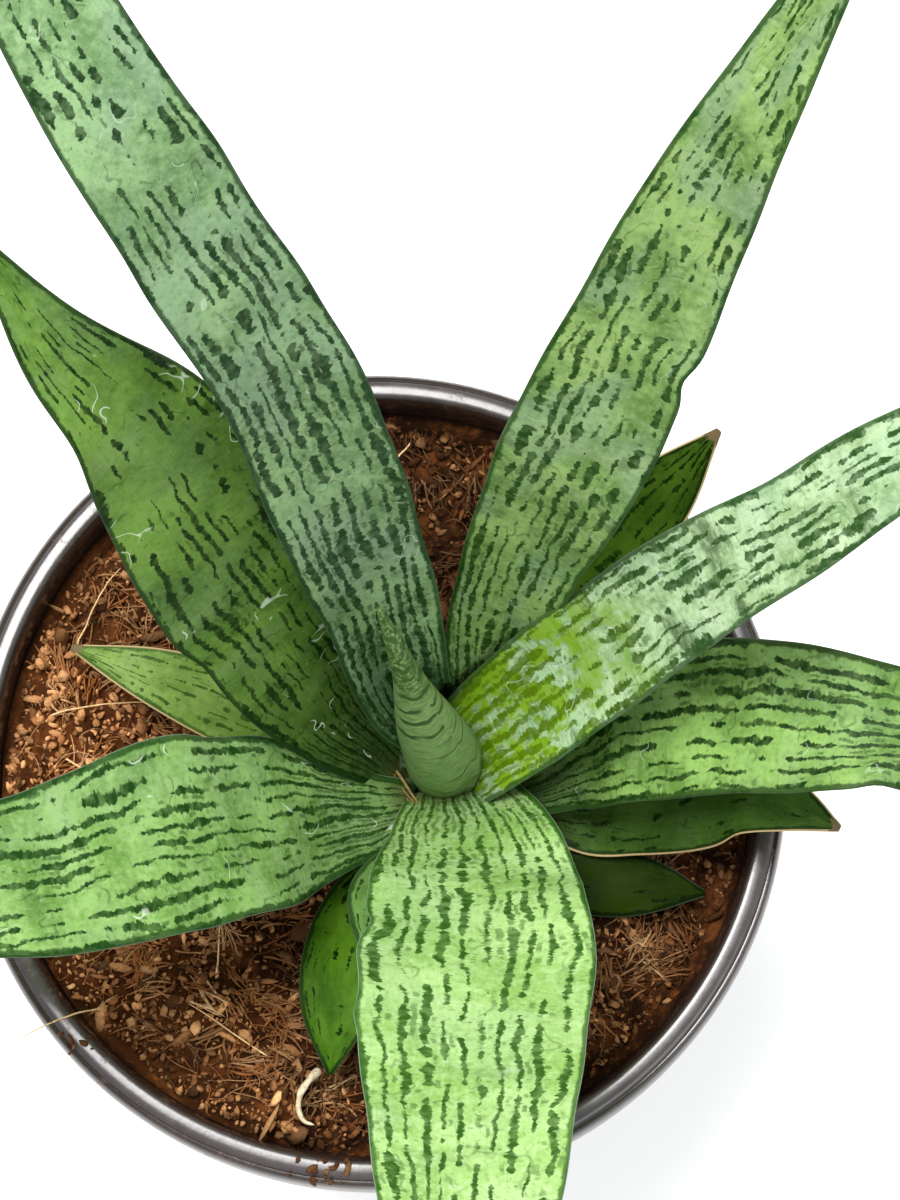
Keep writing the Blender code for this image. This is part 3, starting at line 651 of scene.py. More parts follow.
def leaf_ground(f, skin, blade, place, light, dark, cloud, wisps, powder):
    """The skin between the marks: clouds, pale and dark bands across, powdery
    flecks and fine veins, with painted shade that darkens the foot, where the
    crown and the leaves above shade it, and on some leaves painted light that
    brightens the tip."""
    seed, powdery, bands = skin["seed"], skin["powder"], skin["bands"]
    band_at = f.streaks(blade, 0.45, 0.15, seed + 41.0, 4.0, 0.62)
    flecks = f.noise(f.place(), 1250.0, 3.0, 0.6)
    cool = f.streaks(blade, 0.8, 0.055, seed + 61.0)
    veins = f.streaks(blade, skin["rows"] * 2.6, 0.10, seed)
    share = f.add(f.step(cloud, 0.32, 0.68), f.swing(wisps, 0.7))
    share = f.add(share, f.swing(powder, 2.4 * powdery))
    ground = f.mix(f.math("ADD", share, 0.0, clamp=True), dark, light)
    middle = sum(skin["light"]) / 3
    ground = f.mix(f.times(f.step(cool, 0.46, 0.62), skin["cool"]), ground,
                   (0.80 * middle, 1.20 * middle, 0.78 * middle))
    brightest = max(skin["light"])
    pale = tuple(0.5 * channel + 0.5 * brightest * whitened for channel, whitened
                 in zip(light, (0.88, 1.08, 0.74)))
    dim = toned(dark, 0.45)
    ground = f.mix(f.times(f.step(band_at, 0.54, 0.66), 0.50 * bands), ground, pale)
    ground = f.mix(f.times(f.step(band_at, 0.42, 0.32), 0.70 * bands), ground, dim)
    ground = f.mix(f.times(f.step(flecks, 0.54, 0.66), 0.38 * powdery), ground, pale)
    ground = f.mix(f.times(f.step(flecks, 0.46, 0.34), 0.34 * powdery), ground, dim)
    shade = f.add(0.90, f.times(veins, 0.20))
    # Painted light: with a rise, a leaf's colour is brightened towards its tip, where the arching
    # leaf faces the light.
    shade = f.times(shade, f.add(1.0, f.times(f.step(place, 0.35, 0.95), skin["rise"])))
    # Painted shade: the foot is darkened, down to low and up to reach along the leaf, where the
    # crown and the leaves above shade it.
    low, reach = skin["base"]
    shade = f.times(shade, f.add(low, f.times(f.step(place, 0.0, reach), 1 - low)))
    return f.shaded(ground, shade)


def leaf_skin(name, skin, underside=False):
    """Waxy leaf skin: a clouded ground, dark marks, a dark band inside the
    margin and a pale hair line on it. The underside is a little greyer."""
    settings = bpy.context.scene.snake_leaf
    skin = {**PLAIN, **skin}
    f = Finish(name)
    blade = f.uv("Blade")
    margin, place = f.uv("Edge")
    seed = skin["seed"]
    greyed = 0.18 if underside else 0.0

    def tone(colour):
        grey = sum(colour) / 3
        return tuple(channel * (1 - greyed) + grey * greyed for channel in colour)

    marks = leaf_marks(f, skin, blade, place, skin["density"] - 0.10 * underside)
    cloud = f.streaks(blade, 0.9, 0.09, seed + 2.0, 3.0, 0.6)
    wisps = f.streaks(blade, 4.0, 1.1, seed + 4.0, 4.0, 0.65)
    powder = f.noise(f.place(), 620.0, 5.0, 0.72)
    ground = leaf_ground(f, skin, blade, place, tone(skin["light"]), tone(skin["dark"]),
                         cloud, wisps, powder)

    # A fresh heart is yellow-green at the foot, and so are its marks.
    marked = tone(skin["dash"])
    margin_dark = toned(marked, 1.1)
    if "heart" in skin:
        reach = skin["heart_reach"]
        fresh = f.step(f.add(place, f.swing(cloud, 0.25)), reach, reach * 0.45)
        patch = f.streaks(blade, 1.9, 0.17, seed + 21.0, 3.0, 0.6)
        stripes = f.streaks(blade, 5.0, 0.22, seed + 23.0, 3.0, 0.6)
        patch = f.add(f.times(patch, 0.6), f.times(stripes, 0.4))
        green = f.times(fresh, f.step(patch, 0.55, 0.47))
        ground = f.mix(f.times(green, 0.95), ground, skin["heart"])
        marked = f.mix(fresh, marked, toned(skin["heart"], 0.45))
        margin_dark = HEART_MARGIN
    coloured = f.mix(marks, ground, marked)
    coloured = f.mix(f.times(f.step(place, 0.05, 0.01), 0.6), coloured, LEAF_FOOT)

    # Old scuffs: hair-thin white curls.
    curl = f.streaks(blade, 2.2, 0.22, seed + 51.0, 1.0)
    seldom = f.streaks(blade, 1.7, 0.11, seed + 53.0)
    scuffs = f.times(f.step(f.off_middle(curl), 0.012, 0.004), f.step(seldom, 0.60, 0.64))
    coloured = f.mix(f.times(scuffs, 0.8 * skin["scuffs"]), coloured, SCUFF)

    # The margin: a dark band with a ragged inner side, then a pale hair line.
    bite = f.streaks(blade, 1.0, 0.45, seed + 6.0, 3.0, 0.65)
    band = f.step(f.math("SUBTRACT", margin, f.times(bite, skin["rim"])), 0.20, -0.20)
    coloured = f.mix(f.times(band, 0.85), coloured, margin_dark)
    dry = skin["dry"]
    dried = tuple(settings.dry_margin)
    hair = 0.30 if dry else 0.15
    edge = f.times(f.step(margin, hair, hair * 0.45), 0.85 if dry else skin["hair"])
    coloured = f.mix(edge, coloured, dried if dry else MARGIN_HAIR)
    if dry:
        browned = f.step(f.add(place, f.swing(bite, 0.10)), 1.0 - dry, 1.0 - 0.6 * dry)
        coloured = f.mix(browned, coloured, toned(dried, 0.3))

    # A waxy skin with fine ribs and small cross wrinkles.
    dull = f.add(settings.roughness - 0.06, f.times(wisps, 0.16))
    ribs = f.streaks(blade, skin["rows"] * 3.2, 0.06, seed, 1.0)
    height = f.add(f.times(ribs, 0.6), f.times(powder, 0.7))
    height = f.add(height, f.times(marks, -0.15))
    return f.done(coloured, dull, f.bump(height, 0.40, 0.30 * MM), skin["gloss"])


def spear_skin():
    """Pale outer face of the rolled leaf, with thin dark cross lines and a
    darker tip."""
    f = Finish("spear_skin")
    blade = f.uv("Blade")
    around, along = blade
    _, place = f.uv("Edge")
    sway = f.streaks(blade, 2.0, 0.10, 1.0)
    level = f.add(f.times(along, 0.23), f.swing(sway, 1.3))
    line = f.off_middle(f.math("FRACT", level))
    heavy = f.noise(f.point(f.times(around, 1.6), f.times(f.math("FLOOR", level), 1.7), 2.0),
                    1.3, 1.0)
    higher = f.times(f.step(place, 0.25, 0.6), 0.16)
    broad = f.add(0.05, f.times(f.step(place, 0.25, 0.5), 0.09))
    inked = f.step(f.math("SUBTRACT", broad, line), -0.02, 0.03)
    lines = f.times(inked, f.step(f.add(heavy, higher), 0.47, 0.62))
    wisps = f.streaks(blade, 6.0, 1.2, 4.0, 3.0, 0.6)
    ground = f.mix(f.step(wisps, 0.3, 0.7), (0.150, 0.250, 0.085), (0.270, 0.395, 0.165))
    coloured = f.mix(f.times(lines, 0.85), ground, (0.018, 0.055, 0.010))
    tip = f.step(place, 0.55, 0.74)
    coloured = f.mix(f.times(tip, f.step(wisps, 0.70, 0.40)), coloured, (0.040, 0.092, 0.014))
    foot = f.step(place, 0.10, 0.02)
    coloured = f.mix(f.times(foot, 0.6), coloured, (0.075, 0.110, 0.025))
    return f.done(coloured, 0.42, f.bump(wisps, 0.12, 0.15 * MM), 0.15)


def coir_ground_skin():
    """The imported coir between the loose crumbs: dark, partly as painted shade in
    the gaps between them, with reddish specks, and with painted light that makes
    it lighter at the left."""
    f = Finish("coir_ground")
    at = f.place()
    grain = f.noise(at, 900.0, 4.0, 0.7)
    lumps = f.noise(at, 190.0, 3.0, 0.6)
    pith = tuple(bpy.context.scene.snake_coir.pith)
    warm = tuple(min(1.0, channel * 1.9) for channel in pith)
    leftward = f.node("ShaderNodeSeparateXYZ", sockets={"Vector": at}).outputs[0]
    # Painted light: the ground's dark tone is lifted towards the left; elsewhere it stays darker,
    # partly as painted shade in the gaps between the crumbs.
    dry = f.step(leftward, -5 * MM, -42 * MM)
    deep = f.mix(dry, toned(pith, 0.08), toned(pith, 0.26))
    coloured = f.mix(f.times(f.step(lumps, 0.44, 0.72), 0.5), deep, pith)
    coloured = f.mix(f.times(f.step(grain, 0.56, 0.76), 0.4), coloured, warm)
    return f.done(coloured, 0.95, f.bump(f.add(grain, lumps), 0.9, 0.8 * MM), 0.15)


def coir_skin(name, low, high, grain_scale=1900.0):
    """Loose coir: each crumb or fibre takes its own tone, from low to high, and
    its dark stain and painted shade from the Tone map."""
    f = Finish(name)
    pick, stain_and_shade = f.uv("Tone")
    grain = f.noise(f.place(), grain_scale, 3.0, 0.65)
    coloured = f.shaded(f.mix(pick, low, high), f.add(0.25, f.times(grain, 1.5)))
    # Darkened towards dark coir: partly a random stain, partly painted shade.
    coloured = f.mix(f.times(stain_and_shade, 0.92), coloured, DARK_COIR_AND_SHADE)
    return f.done(coloured, 0.85, f.bump(grain, 0.7, 0.4 * MM), 0.15)


def pot_skin():
    """Brown-black moulded plastic: a grey lip, worn and painted lighter as a
    highlight on its ridges, faint turning lines, scuffs and coir dust."""
    settings = bpy.context.scene.snake_pot
    f = Finish("pot_plastic_fine")
    at = f.place()
    height = f.node("ShaderNodeSeparateXYZ", sockets={"Vector": at}).outputs[2]
    scuffs = f.noise(at, 160.0, 4.0, 0.7)
    dust = f.noise(at, 420.0, 4.0, 0.75)
    haze = f.noise(at, 38.0, 3.0, 0.6)
    near_rim = f.step(height, POT_TOP - 12 * MM, POT_TOP - 1 * MM)
    dusty = f.times(f.times(f.step(dust, 0.54, 0.74), f.step(haze, 0.40, 0.60)), near_rim)
    coloured = f.mix(f.step(haze, 0.3, 0.7), tuple(settings.colour), (0.034, 0.020, 0.016))
    # Painted highlight and wear: the lip's top ridges are lightened, partly as wear and partly as
    # a highlight where they catch the light.
    wear_and_highlight = f.step(height, POT_TOP - 0.62 * MM, POT_TOP - 0.12 * MM)
    wear_and_highlight = f.times(wear_and_highlight, f.add(0.45, f.times(f.step(scuffs, 0.30, 0.62), 0.55)))
    coloured = f.mix(wear_and_highlight, coloured, tuple(settings.wear_and_highlight))
    coloured = f.mix(f.times(dusty, 0.5), coloured, COIR_DUST)
    dull = f.add(settings.roughness - 0.05, f.times(scuffs, 0.16))
    dull = f.add(dull, f.times(dusty, 0.3))
    shine = f.step(height, POT_TOP - 3 * MM, POT_TOP - 0.5 * MM)
    turning = f.noise(f.point(0.0, 0.0, height), 2600.0, 1.0)
    relief = f.bump(f.add(f.times(turning, 0.3), scuffs), 0.12, 0.3 * MM)
    return f.done(coloured, dull, relief, f.add(0.30, f.times(shine, 0.70)))


def plain_skin(name, light, dark, roughness, scale):
    """A mottled matt skin of two tones."""
    f = Finish(name)
    mottle = f.noise(f.place(), scale, 4.0, 0.6)
    coloured = f.mix(f.step(mottle, 0.35, 0.65), dark, light)
    return f.done(coloured, roughness, f.bump(mottle, 0.6, 0.4 * MM))


# ---------------------------------------------------------------- pieces


def leaf_rings(name, leaf):
    """Rings of points for a leaf's fine blade, and the maps that its skin reads."""
    settings = bpy.context.scene.snake_leaf
    skin = SKINS[name]
    _, length_mm = read_curve(leaf["stations"], np.array([0.0]))
    count = max(24, int(length_mm * MM / settings.step))
    places = np.linspace(0, 1, count)
    places = places + 0.04 * np.sin(TAU * places) / TAU
    middle, across, upper, width, length = growth_frames(
        leaf["stations"], leaf["heading"], places)
    width = np.maximum(width, 0.5 * MM)
    lean = math.radians(leaf["lean"])
    side = across * math.cos(lean) + upper * math.sin(lean)
    face = upper * math.cos(lean) - across * math.sin(lean)
    clasp = math.radians(leaf.get("clasp", 0)) * (1 - smooth_step(0, 0.09, places))
    half = fold_at(leaf["fold"], places) + clasp
    n = settings.across
    share = np.sin(np.linspace(-1, 1, n) * math.pi / 2 * 0.86) / math.sin(math.pi / 2 * 0.86)
    travel = places * length

    # Half widths on the two sides, with slow swells and any bites.
    random = np.random.default_rng(int(skin["seed"]))
    halves = {}
    for sign in (-1, 1):
        swell = 1 + 0.012 * np.sin(travel / (9 * MM) + random.uniform(0, TAU))
        swell += 0.010 * np.sin(travel / (3.1 * MM) + random.uniform(0, TAU))
        halves[sign] = swell * width / 2
    outward = read_curve(leaf["stations"], places)[0][:, 0]
    for sign, at, depth, reach in NOTCHES.get(name, ()):
        bite = np.exp(-((outward - at) / reach) ** 2)
        halves[sign] = halves[sign] - depth * MM * bite

    swing = half[:, None] * share[None, :]
    bend = (width / 2 / np.sin(half))[:, None]
    scale = np.where(share < 0, halves[-1][:, None], halves[1][:, None]) / (width / 2)[:, None]
    x = bend * np.sin(swing) * scale
    y = bend * (1 - np.cos(swing))

    # The margins ripple, and the blade is never quite flat.
    fade = smooth_step(0.03, 0.25, places) * smooth_step(1.0, 0.85, places)
    ripple = np.zeros_like(x)
    for sign in (-1, 1):
        wave = np.zeros(count)
        for reach in (17 * MM, 10.5 * MM, 6.2 * MM):
            wave += np.sin(travel / reach * 3.3 + random.uniform(0, TAU)) * reach / (17 * MM)
        weight = np.clip(share * sign, 0, 1) ** 3
        ripple += (skin["wave"] * MM * fade * wave)[:, None] * weight[None, :]
    for reach, height in ((31 * MM, 0.22 * MM), (12 * MM, 0.09 * MM)):
        phase = random.uniform(0, TAU, 2)
        ripple += (height * fade)[:, None] * np.sin(
            travel[:, None] / reach * TAU + 2.1 * share[None, :] + phase[0]) * np.cos(
            3.2 * share[None, :] + phase[1])
    y = y + ripple

    centre = middle[:, None] + side[:, None] * x[..., None] + face[:, None] * y[..., None]
    normal = (face[:, None] * np.cos(swing)[..., None]
              - side[:, None] * np.sin(swing)[..., None])
    body = settings.midrib * (1.1 - 0.55 * places)
    body = np.minimum(body, 0.5 * width)
    lens = 0.27 + 0.73 * (1 - share ** 2)
    depth = body[:, None] * lens[None, :] * np.sqrt(np.maximum(0, 1 - np.abs(share) ** 14))
    top = centre + normal * depth[..., None] / 2
    low = centre - normal * depth[..., None] / 2
    rings = np.concatenate([low, top[:, ::-1][:, 1:-1]], axis=1)

    columns = np.concatenate([share, share[::-1][1:]])
    from_margin = (1 - np.abs(columns))[None, :] * (width / 2)[:, None] / MM
    maps = {"Blade": corner_grid(columns, travel / MM), "Edge": corner_grid(from_margin, places),
            "OFBake": bake_grid(len(columns) - 1, places)}
    slots = np.array([1] * (n - 1) + [0] * (n - 1))
    return rings, maps, slots


def make_leaf(name, leaf):
    rings, maps, slots = leaf_rings(name, leaf)
    data = sleeve(name + "_blade", rings, maps, slots)
    skin = SKINS[name]
    finishes = [leaf_skin(name + "_face", skin), leaf_skin(name + "_back", skin, underside=True)]
    return add_piece(name + "_blade", data, finishes, (name,))


def make_spear():
    """The young leaf: one margin lies over the other, so its roll has a step."""
    count, around = 70, 48
    places = np.linspace(0, 1, count)
    middle, across, upper, width, length = growth_frames(
        SPEAR["stations"], SPEAR["heading"], places)
    turn = round_steps(around)
    lap = 1 + 0.10 * (turn / TAU) * smooth_step(0, 0.35, turn / TAU)
    lap = lap - 0.05
    radius = (width / 2)[:, None] * lap[None, :]
    start = math.radians(70)
    rings = middle[:, None] + circles(across, upper, turn + start) * radius[..., None]
    maps = {"Blade": corner_grid(np.linspace(-1, 1, around + 1), places * length / MM),
            "Edge": corner_grid(np.full(around + 1, 5.0), places),
            "OFBake": bake_grid(around, places)}
    data = sleeve("central_spear_roll", rings, maps)
    return add_piece("central_spear_roll", data, [spear_skin()],
                     ("central_spear",))


def pot_profile(wall):
    """Underside, tapered wall, hanging rim, double-ridged lip, ledge, inside."""
    mouth, ledge = MOUTH_RADIUS, LEDGE_HEIGHT
    skirt = RIM_RADIUS - wall
    floor = FOOT_RECESS + wall

    def taper(height):
        return BASE_RADIUS + (mouth - LEDGE_WIDTH + wall - BASE_RADIUS) * height / ledge

    rows = [(radius * MM, height * MM) for radius, height in UNDERSIDE]
    rows += [(taper(height), height) for height in np.linspace(1.0 * MM, ledge - wall, 24)]
    rows += [(mouth + wall - 0.2 * MM, ledge - 0.8 * wall), (mouth + wall, ledge - 0.3 * wall),
             (mouth + wall, POT_TOP - 1.8 * wall), (mouth + wall + 0.3 * MM, POT_TOP - 1.5 * wall),
             (skirt - 0.7 * MM, POT_TOP - 1.5 * wall), (skirt - 0.1 * MM, POT_TOP - 2.0 * wall),
             (skirt, POT_TOP - 10.6 * MM), (skirt + 0.25 * MM, POT_TOP - 11 * MM),
             (RIM_RADIUS - 0.2 * MM, POT_TOP - 11 * MM), (RIM_RADIUS, POT_TOP - 10.7 * MM),
             (RIM_RADIUS - 0.05 * MM, POT_TOP - 8 * MM)]
    rows += [(RIM_RADIUS - inward * MM, POT_TOP - down * MM) for inward, down in LIP]
    rows += [(mouth - 0.1 * MM, ledge + 1.0 * MM), (mouth - 0.15 * MM, ledge + 0.3 * MM),
             (mouth - 0.5 * MM, ledge), (mouth - 1.15 * MM, ledge - 0.15 * MM),
             (mouth - LEDGE_WIDTH, ledge - 0.5 * MM)]
    inner = np.linspace(ledge - 2 * MM, floor + 1.2 * MM, 20)
    rows += [(taper(height) - wall - 0.02 * MM, height) for height in inner]
    rows += [(taper(floor) - wall - 1.0 * MM, floor), (0, floor)]
    return rows


def turned(name, profile, segments):
    """Turn a profile of (radius, height) about Z; its ends lie on the axis."""
    inner = np.array(profile[1:-1])
    x, y = polar(inner[:, 0], round_steps(segments))
    z = np.broadcast_to(inner[:, 1:2], x.shape)
    points = np.concatenate([[[0, 0, profile[0][1]]], np.stack([x, y, z], 2).reshape(-1, 3),
                             [[0, 0, profile[-1][1]]]])
    rows = len(inner)
    faces = [face[:1] + face[:0:-1] for face in ring_faces(rows, segments, 1)[0][:-2]]
    last = 1 + (rows - 1) * segments
    for step in range(segments):
        after = (step + 1) % segments
        faces.append([0, 1 + after, 1 + step])
        faces.append([last + step, last + after, len(points) - 1])
    return mesh_of(name, points, faces)


def cut_away(target, work, name):
    """Take the shapes in a bmesh away from target, and keep only the result."""
    data = bpy.data.meshes.new(name)
    work.to_mesh(data)
    work.free()
    cutter = bpy.data.objects.new(name, data)
    bpy.context.scene.collection.objects.link(cutter)
    step = target.modifiers.new(name, "BOOLEAN")
    step.operation = "DIFFERENCE"
    step.solver = "EXACT"
    step.object = cutter
    bpy.context.view_layer.update()
    graph = bpy.context.evaluated_depsgraph_get()
    result = bpy.data.meshes.new_from_object(target.evaluated_get(graph))
    target.modifiers.remove(step)
    target.data = result
    bpy.data.objects.remove(cutter, do_unlink=True)


def make_pot():
    settings = bpy.context.scene.snake_pot
    data = turned("nursery_pot_shell", pot_profile(settings.wall), settings.segments)
    pot = add_piece("nursery_pot_shell", data, [pot_skin()], ("nursery_pot",))
    work = bmesh.new()
    for hole in range(DRAIN_HOLES):
        turn = TAU * (hole + 0.5) / DRAIN_HOLES
        made = bmesh.ops.create_cone(work, cap_ends=True, segments=32, radius1=DRAIN_RADIUS,
                                     radius2=DRAIN_RADIUS, depth=12 * MM)
        place = Vector((DRAIN_CIRCLE * math.cos(turn), DRAIN_CIRCLE * math.sin(turn), FOOT_RECESS))
        bmesh.ops.translate(work, verts=made["verts"], vec=place)
    cut_away(pot, work, "drain_holes")
    work = bmesh.new()
    long, wide, high = NOTCH_SIZE
    for notch in range(FOOT_NOTCHES):
        turn = TAU * notch / FOOT_NOTCHES
        made = bmesh.ops.create_cube(work, size=1.0)
        for corner in made["verts"]:
            out = NOTCH_CIRCLE + corner.co.x * long
            aside = corner.co.y * wide
            corner.co = Vector((out * math.cos(turn) - aside * math.sin(turn),
                                out * math.sin(turn) + aside * math.cos(turn),
                                corner.co.z * high))
    cut_away(pot, work, "foot_notches")
    pot.data.shade_smooth()
    pot.data.set_sharp_from_angle(angle=math.radians(38))
    return pot


def lumpy(x, y, seed):
    """A heap of waves that stands for the coir's lumps, from -1 to 1."""
    random = np.random.default_rng(seed)
    total = np.zeros_like(x)
    weight = 0.0
    for reach in (26, 15, 9, 5.5, 3.4, 2.1):
        for _ in range(3):
            turn = random.uniform(0, TAU)
            phase = random.uniform(0, TAU)
            size = reach ** 0.75
            wave = np.sin((x * math.cos(turn) + y * math.sin(turn)) / MM / reach * TAU + phase)
            total += size * wave
            weight += size * 0.55
    return total / weight


def coir_level(x, y):
    """Height of the coir's surface: lumpy, banked up towards the rim and most
    of all at the front left, with a gap along the plastic."""
    settings = bpy.context.scene.snake_coir
    radius = np.hypot(x, y)
    lumps = lumpy(x, y, 5) * settings.relief
    lumps = lumps - 0.55 * settings.relief * np.abs(lumpy(2.3 * x, 2.3 * y, 9)) + 0.5 * MM
    heap = 1.4 * MM * np.exp(-((np.hypot(x - LEAF_ROOT.x, y - LEAF_ROOT.y)) / (22 * MM)) ** 2)
    front_left = 0.78 - 0.22 * np.sin(np.arctan2(y, x) + 0.6)
    bank = 4.6 * MM * front_left * smooth_step(24 * MM, SOIL_RADIUS - 5 * MM, radius)
    dip = -1.3 * MM * smooth_step(SOIL_RADIUS - 2.5 * MM, SOIL_RADIUS, radius)
    return COIR_HIGH.z - 1.8 * MM + lumps + heap + bank + dip


def make_coir_ground():
    """The body of the coir: a fine lumpy top, plain sides and bottom."""
    rings, segments = 150, 440
    share = np.linspace(0.002, 1, rings)
    radius = SOIL_RADIUS * share ** 0.85
    turn = round_steps(segments)
    x, y = polar(radius, turn)
    z = coir_level(x, y) + 0.35 * MM * lumpy(3.1 * x, 3.1 * y, 8)
    top = np.stack([x, y, z], axis=2)
    low_radius = COIR_RADIUS - 15.5 * MM
    sides = []
    for height, reach in ((LEDGE_HEIGHT + 0.4 * MM, SOIL_RADIUS),
                          (LEDGE_HEIGHT - 0.4 * MM, COIR_RADIUS - 0.3 * MM),
                          (COIR_HIGH.z - 8 * MM, COIR_RADIUS - 1.4 * MM),
                          (COIR_LOW.z + 4 * MM, low_radius + 0.8 * MM),
                          (COIR_LOW.z, low_radius), (COIR_LOW.z, 0.2 * MM)):
        sides.append(np.stack([reach * np.cos(turn), reach * np.sin(turn),
                               np.full(segments, height)], axis=1))
    rows = np.concatenate([top, np.array(sides)])
    data = sleeve("coir_ground", rows[:, ::-1])
    return add_piece("coir_ground", data, [coir_ground_skin()], ("potting_coir",))


def crumb_shape(random):
    """One clump of pith: an uneven little lump of about 40 faces."""
    work = bmesh.new()
    bmesh.ops.create_icosphere(work, subdivisions=1, radius=1.0)
    points = np.array([corner.co[:] for corner in work.verts])
    faces = [[corner.index for corner in face.verts] for face in work.faces]
    work.free()
    points *= 1 + random.uniform(-0.42, 0.30, (len(points), 1))
    return points, np.array(faces)


def spin_matrices(random, count, tilt):
    """Random turns: any way round, and leaning from flat by up to tilt."""
    around = random.uniform(0, TAU, count)
    lean = random.uniform(-tilt, tilt, (count, 2))
    ca, sa = np.cos(around), np.sin(around)
    cx, sx = np.cos(lean[:, 0]), np.sin(lean[:, 0])
    cy, sy = np.cos(lean[:, 1]), np.sin(lean[:, 1])
    zero, one = np.zeros(count), np.ones(count)
    about_z = np.array([[ca, -sa, zero], [sa, ca, zero], [zero, zero, one]]).transpose(2, 0, 1)
    about_x = np.array([[one, zero, zero], [zero, cx, -sx], [zero, sx, cx]]).transpose(2, 0, 1)
    about_y = np.array([[cy, zero, sy], [zero, one, zero], [-sy, zero, cy]]).transpose(2, 0, 1)
    return about_x @ about_y @ about_z


def scatter_spots(random, count, reach, crowd=0.5):
    """Spots on a disc: spread evenly at a crowd of 0.5, thicker at its edge below."""
    radius = reach * random.uniform(0, 1, count) ** crowd
    turn = random.uniform(0, TAU, count)
    return radius * np.cos(turn), radius * np.sin(turn)


def painted_coir_shade(x, y):
    """How much painted shade darkens the coir: least at the left, more elsewhere,
    most at the back, where shadow falls, in random patches.
    """
    turn = np.arctan2(y, x)
    away = np.angle(np.exp(1j * (turn - math.radians(188))))
    # dry is the patch at the left that gets the least painted shade, and behind adds painted
    # shadow at the back.
    dry = np.exp(-(away / math.radians(52)) ** 2)
    behind = smooth_step(0.5, 1.0, np.sin(turn))
    return np.clip(0.95 * (1 - dry) + 0.5 * behind + 0.6 * lumpy(x, y, 33), 0, 1.5)


def make_crumbs():
    """Clumps of pith, husk chips and dirt on the rim, joined into one piece."""
    settings = bpy.context.scene.snake_coir
    random = np.random.default_rng(17)
    shapes = [crumb_shape(random) for _ in range(CRUMB_SHAPES)]
    count = settings.crumbs
    x, y = scatter_spots(random, count, SOIL_RADIUS - 0.9 * MM, 0.36)
    size = 0.25 * MM + 1.05 * MM * random.beta(0.8, 4.5, count)
    chips = random.uniform(0, 1, count) < 0.05
    size[chips] *= 2.0
    stretch = random.uniform(0.6, 1.5, (count, 3)) * np.array([1.35, 0.85, 0.7])
    stretch[chips] *= np.array([1.4, 0.9, 0.5])
    inside = (SOIL_RADIUS - 0.3 * MM - size * 1.3) / np.hypot(x, y)
    x, y = x * np.minimum(1, inside), y * np.minimum(1, inside)
    turns = spin_matrices(random, count, 1.3)
    level = coir_level(x, y) + size * random.uniform(-0.1, 0.8, count)
    rim_turn = np.radians(random.choice(list(RIM_DIRT_TURNS), RIM_DIRT)
                          + random.normal(0, 1.6, RIM_DIRT))
    rim_reach = RIM_RADIUS - random.uniform(0.6, 4.5, RIM_DIRT) * MM
    x[:RIM_DIRT], y[:RIM_DIRT] = rim_reach * np.cos(rim_turn), rim_reach * np.sin(rim_turn)
    level[:RIM_DIRT] = POT_TOP + 0.1 * MM
    size[:RIM_DIRT] = random.uniform(0.25, 0.75, RIM_DIRT) * MM
    # Crumbs are paler where the coir has less painted shade: painted light at the left.
    tone = random.beta(1.0, 2.0, count) + 0.15 * chips + 0.16 * (1 - painted_coir_shade(x, y))
    tone = np.clip(tone, 0, 1)
    # The second tone darkens a crumb: a random stain, plus the painted shade of the coir.
    stain_and_shade = np.clip(random.uniform(0, 1, count) ** 2 + 0.60 * painted_coir_shade(x, y) - 0.12, 0, 1)
    stain_and_shade[:RIM_DIRT] = 0.9

    # The next one is the pale chip by the root tip.
    x[RIM_DIRT], y[RIM_DIRT] = CHIP_SPOT
    level[RIM_DIRT] = coir_level(*CHIP_SPOT) + 1.2 * MM
    size[RIM_DIRT], tone[RIM_DIRT], stain_and_shade[RIM_DIRT] = 1.5 * MM, 1.0, 0.0
    points, faces, tones = [], [], []
    start = 0
    for index in range(count):
        shape, sides = shapes[index % len(shapes)]
        local = shape * stretch[index] * size[index]
        spot = np.array([x[index], y[index], level[index]])
        points.append(local @ turns[index].T + spot)
        faces.append(sides + start)
        start += len(shape)
        tones.append(np.tile([[tone[index], stain_and_shade[index]]], (sides.size, 1)))
    data = mesh_of("coir_crumbs", np.concatenate(points), np.concatenate(faces).tolist(),
                   {"Tone": np.concatenate(tones)})
    finish = coir_skin("coir_crumb", tuple(settings.pith), PALE_CRUMB)
    return add_piece("coir_crumbs", data, [finish])


def strand_rings(path, radii, sides):
    """Rings round a path of points, for a thin strand."""
    along = np.gradient(path, axis=0)
    along /= np.linalg.norm(along, axis=1)[:, None] + 1e-12
    guide = np.array([0.13, 0.27, 0.95])
    across = np.cross(along, guide)
    across /= np.linalg.norm(across, axis=1)[:, None] + 1e-12
    upper = np.cross(across, along)
    ring = circles(across, upper, round_steps(sides))
    return path[:, None] + ring * np.asarray(radii)[:, None, None]


def join_strands(name, strands, tones):
    """Many closed strands as one mesh, with a tone for each."""
    points, faces, corners = [], [], []
    start = 0
    for rings, tone in zip(strands, tones):
        count, around = rings.shape[:2]
        made, row, _ = ring_faces(count, around, start)
        faces += made
        corners.append(np.tile([tone], (4 * len(row) + 2 * around, 1)))
        points.append(rings.reshape(-1, 3))
        start += count * around
    return mesh_of(name, np.concatenate(points), faces, {"Tone": np.concatenate(corners)})


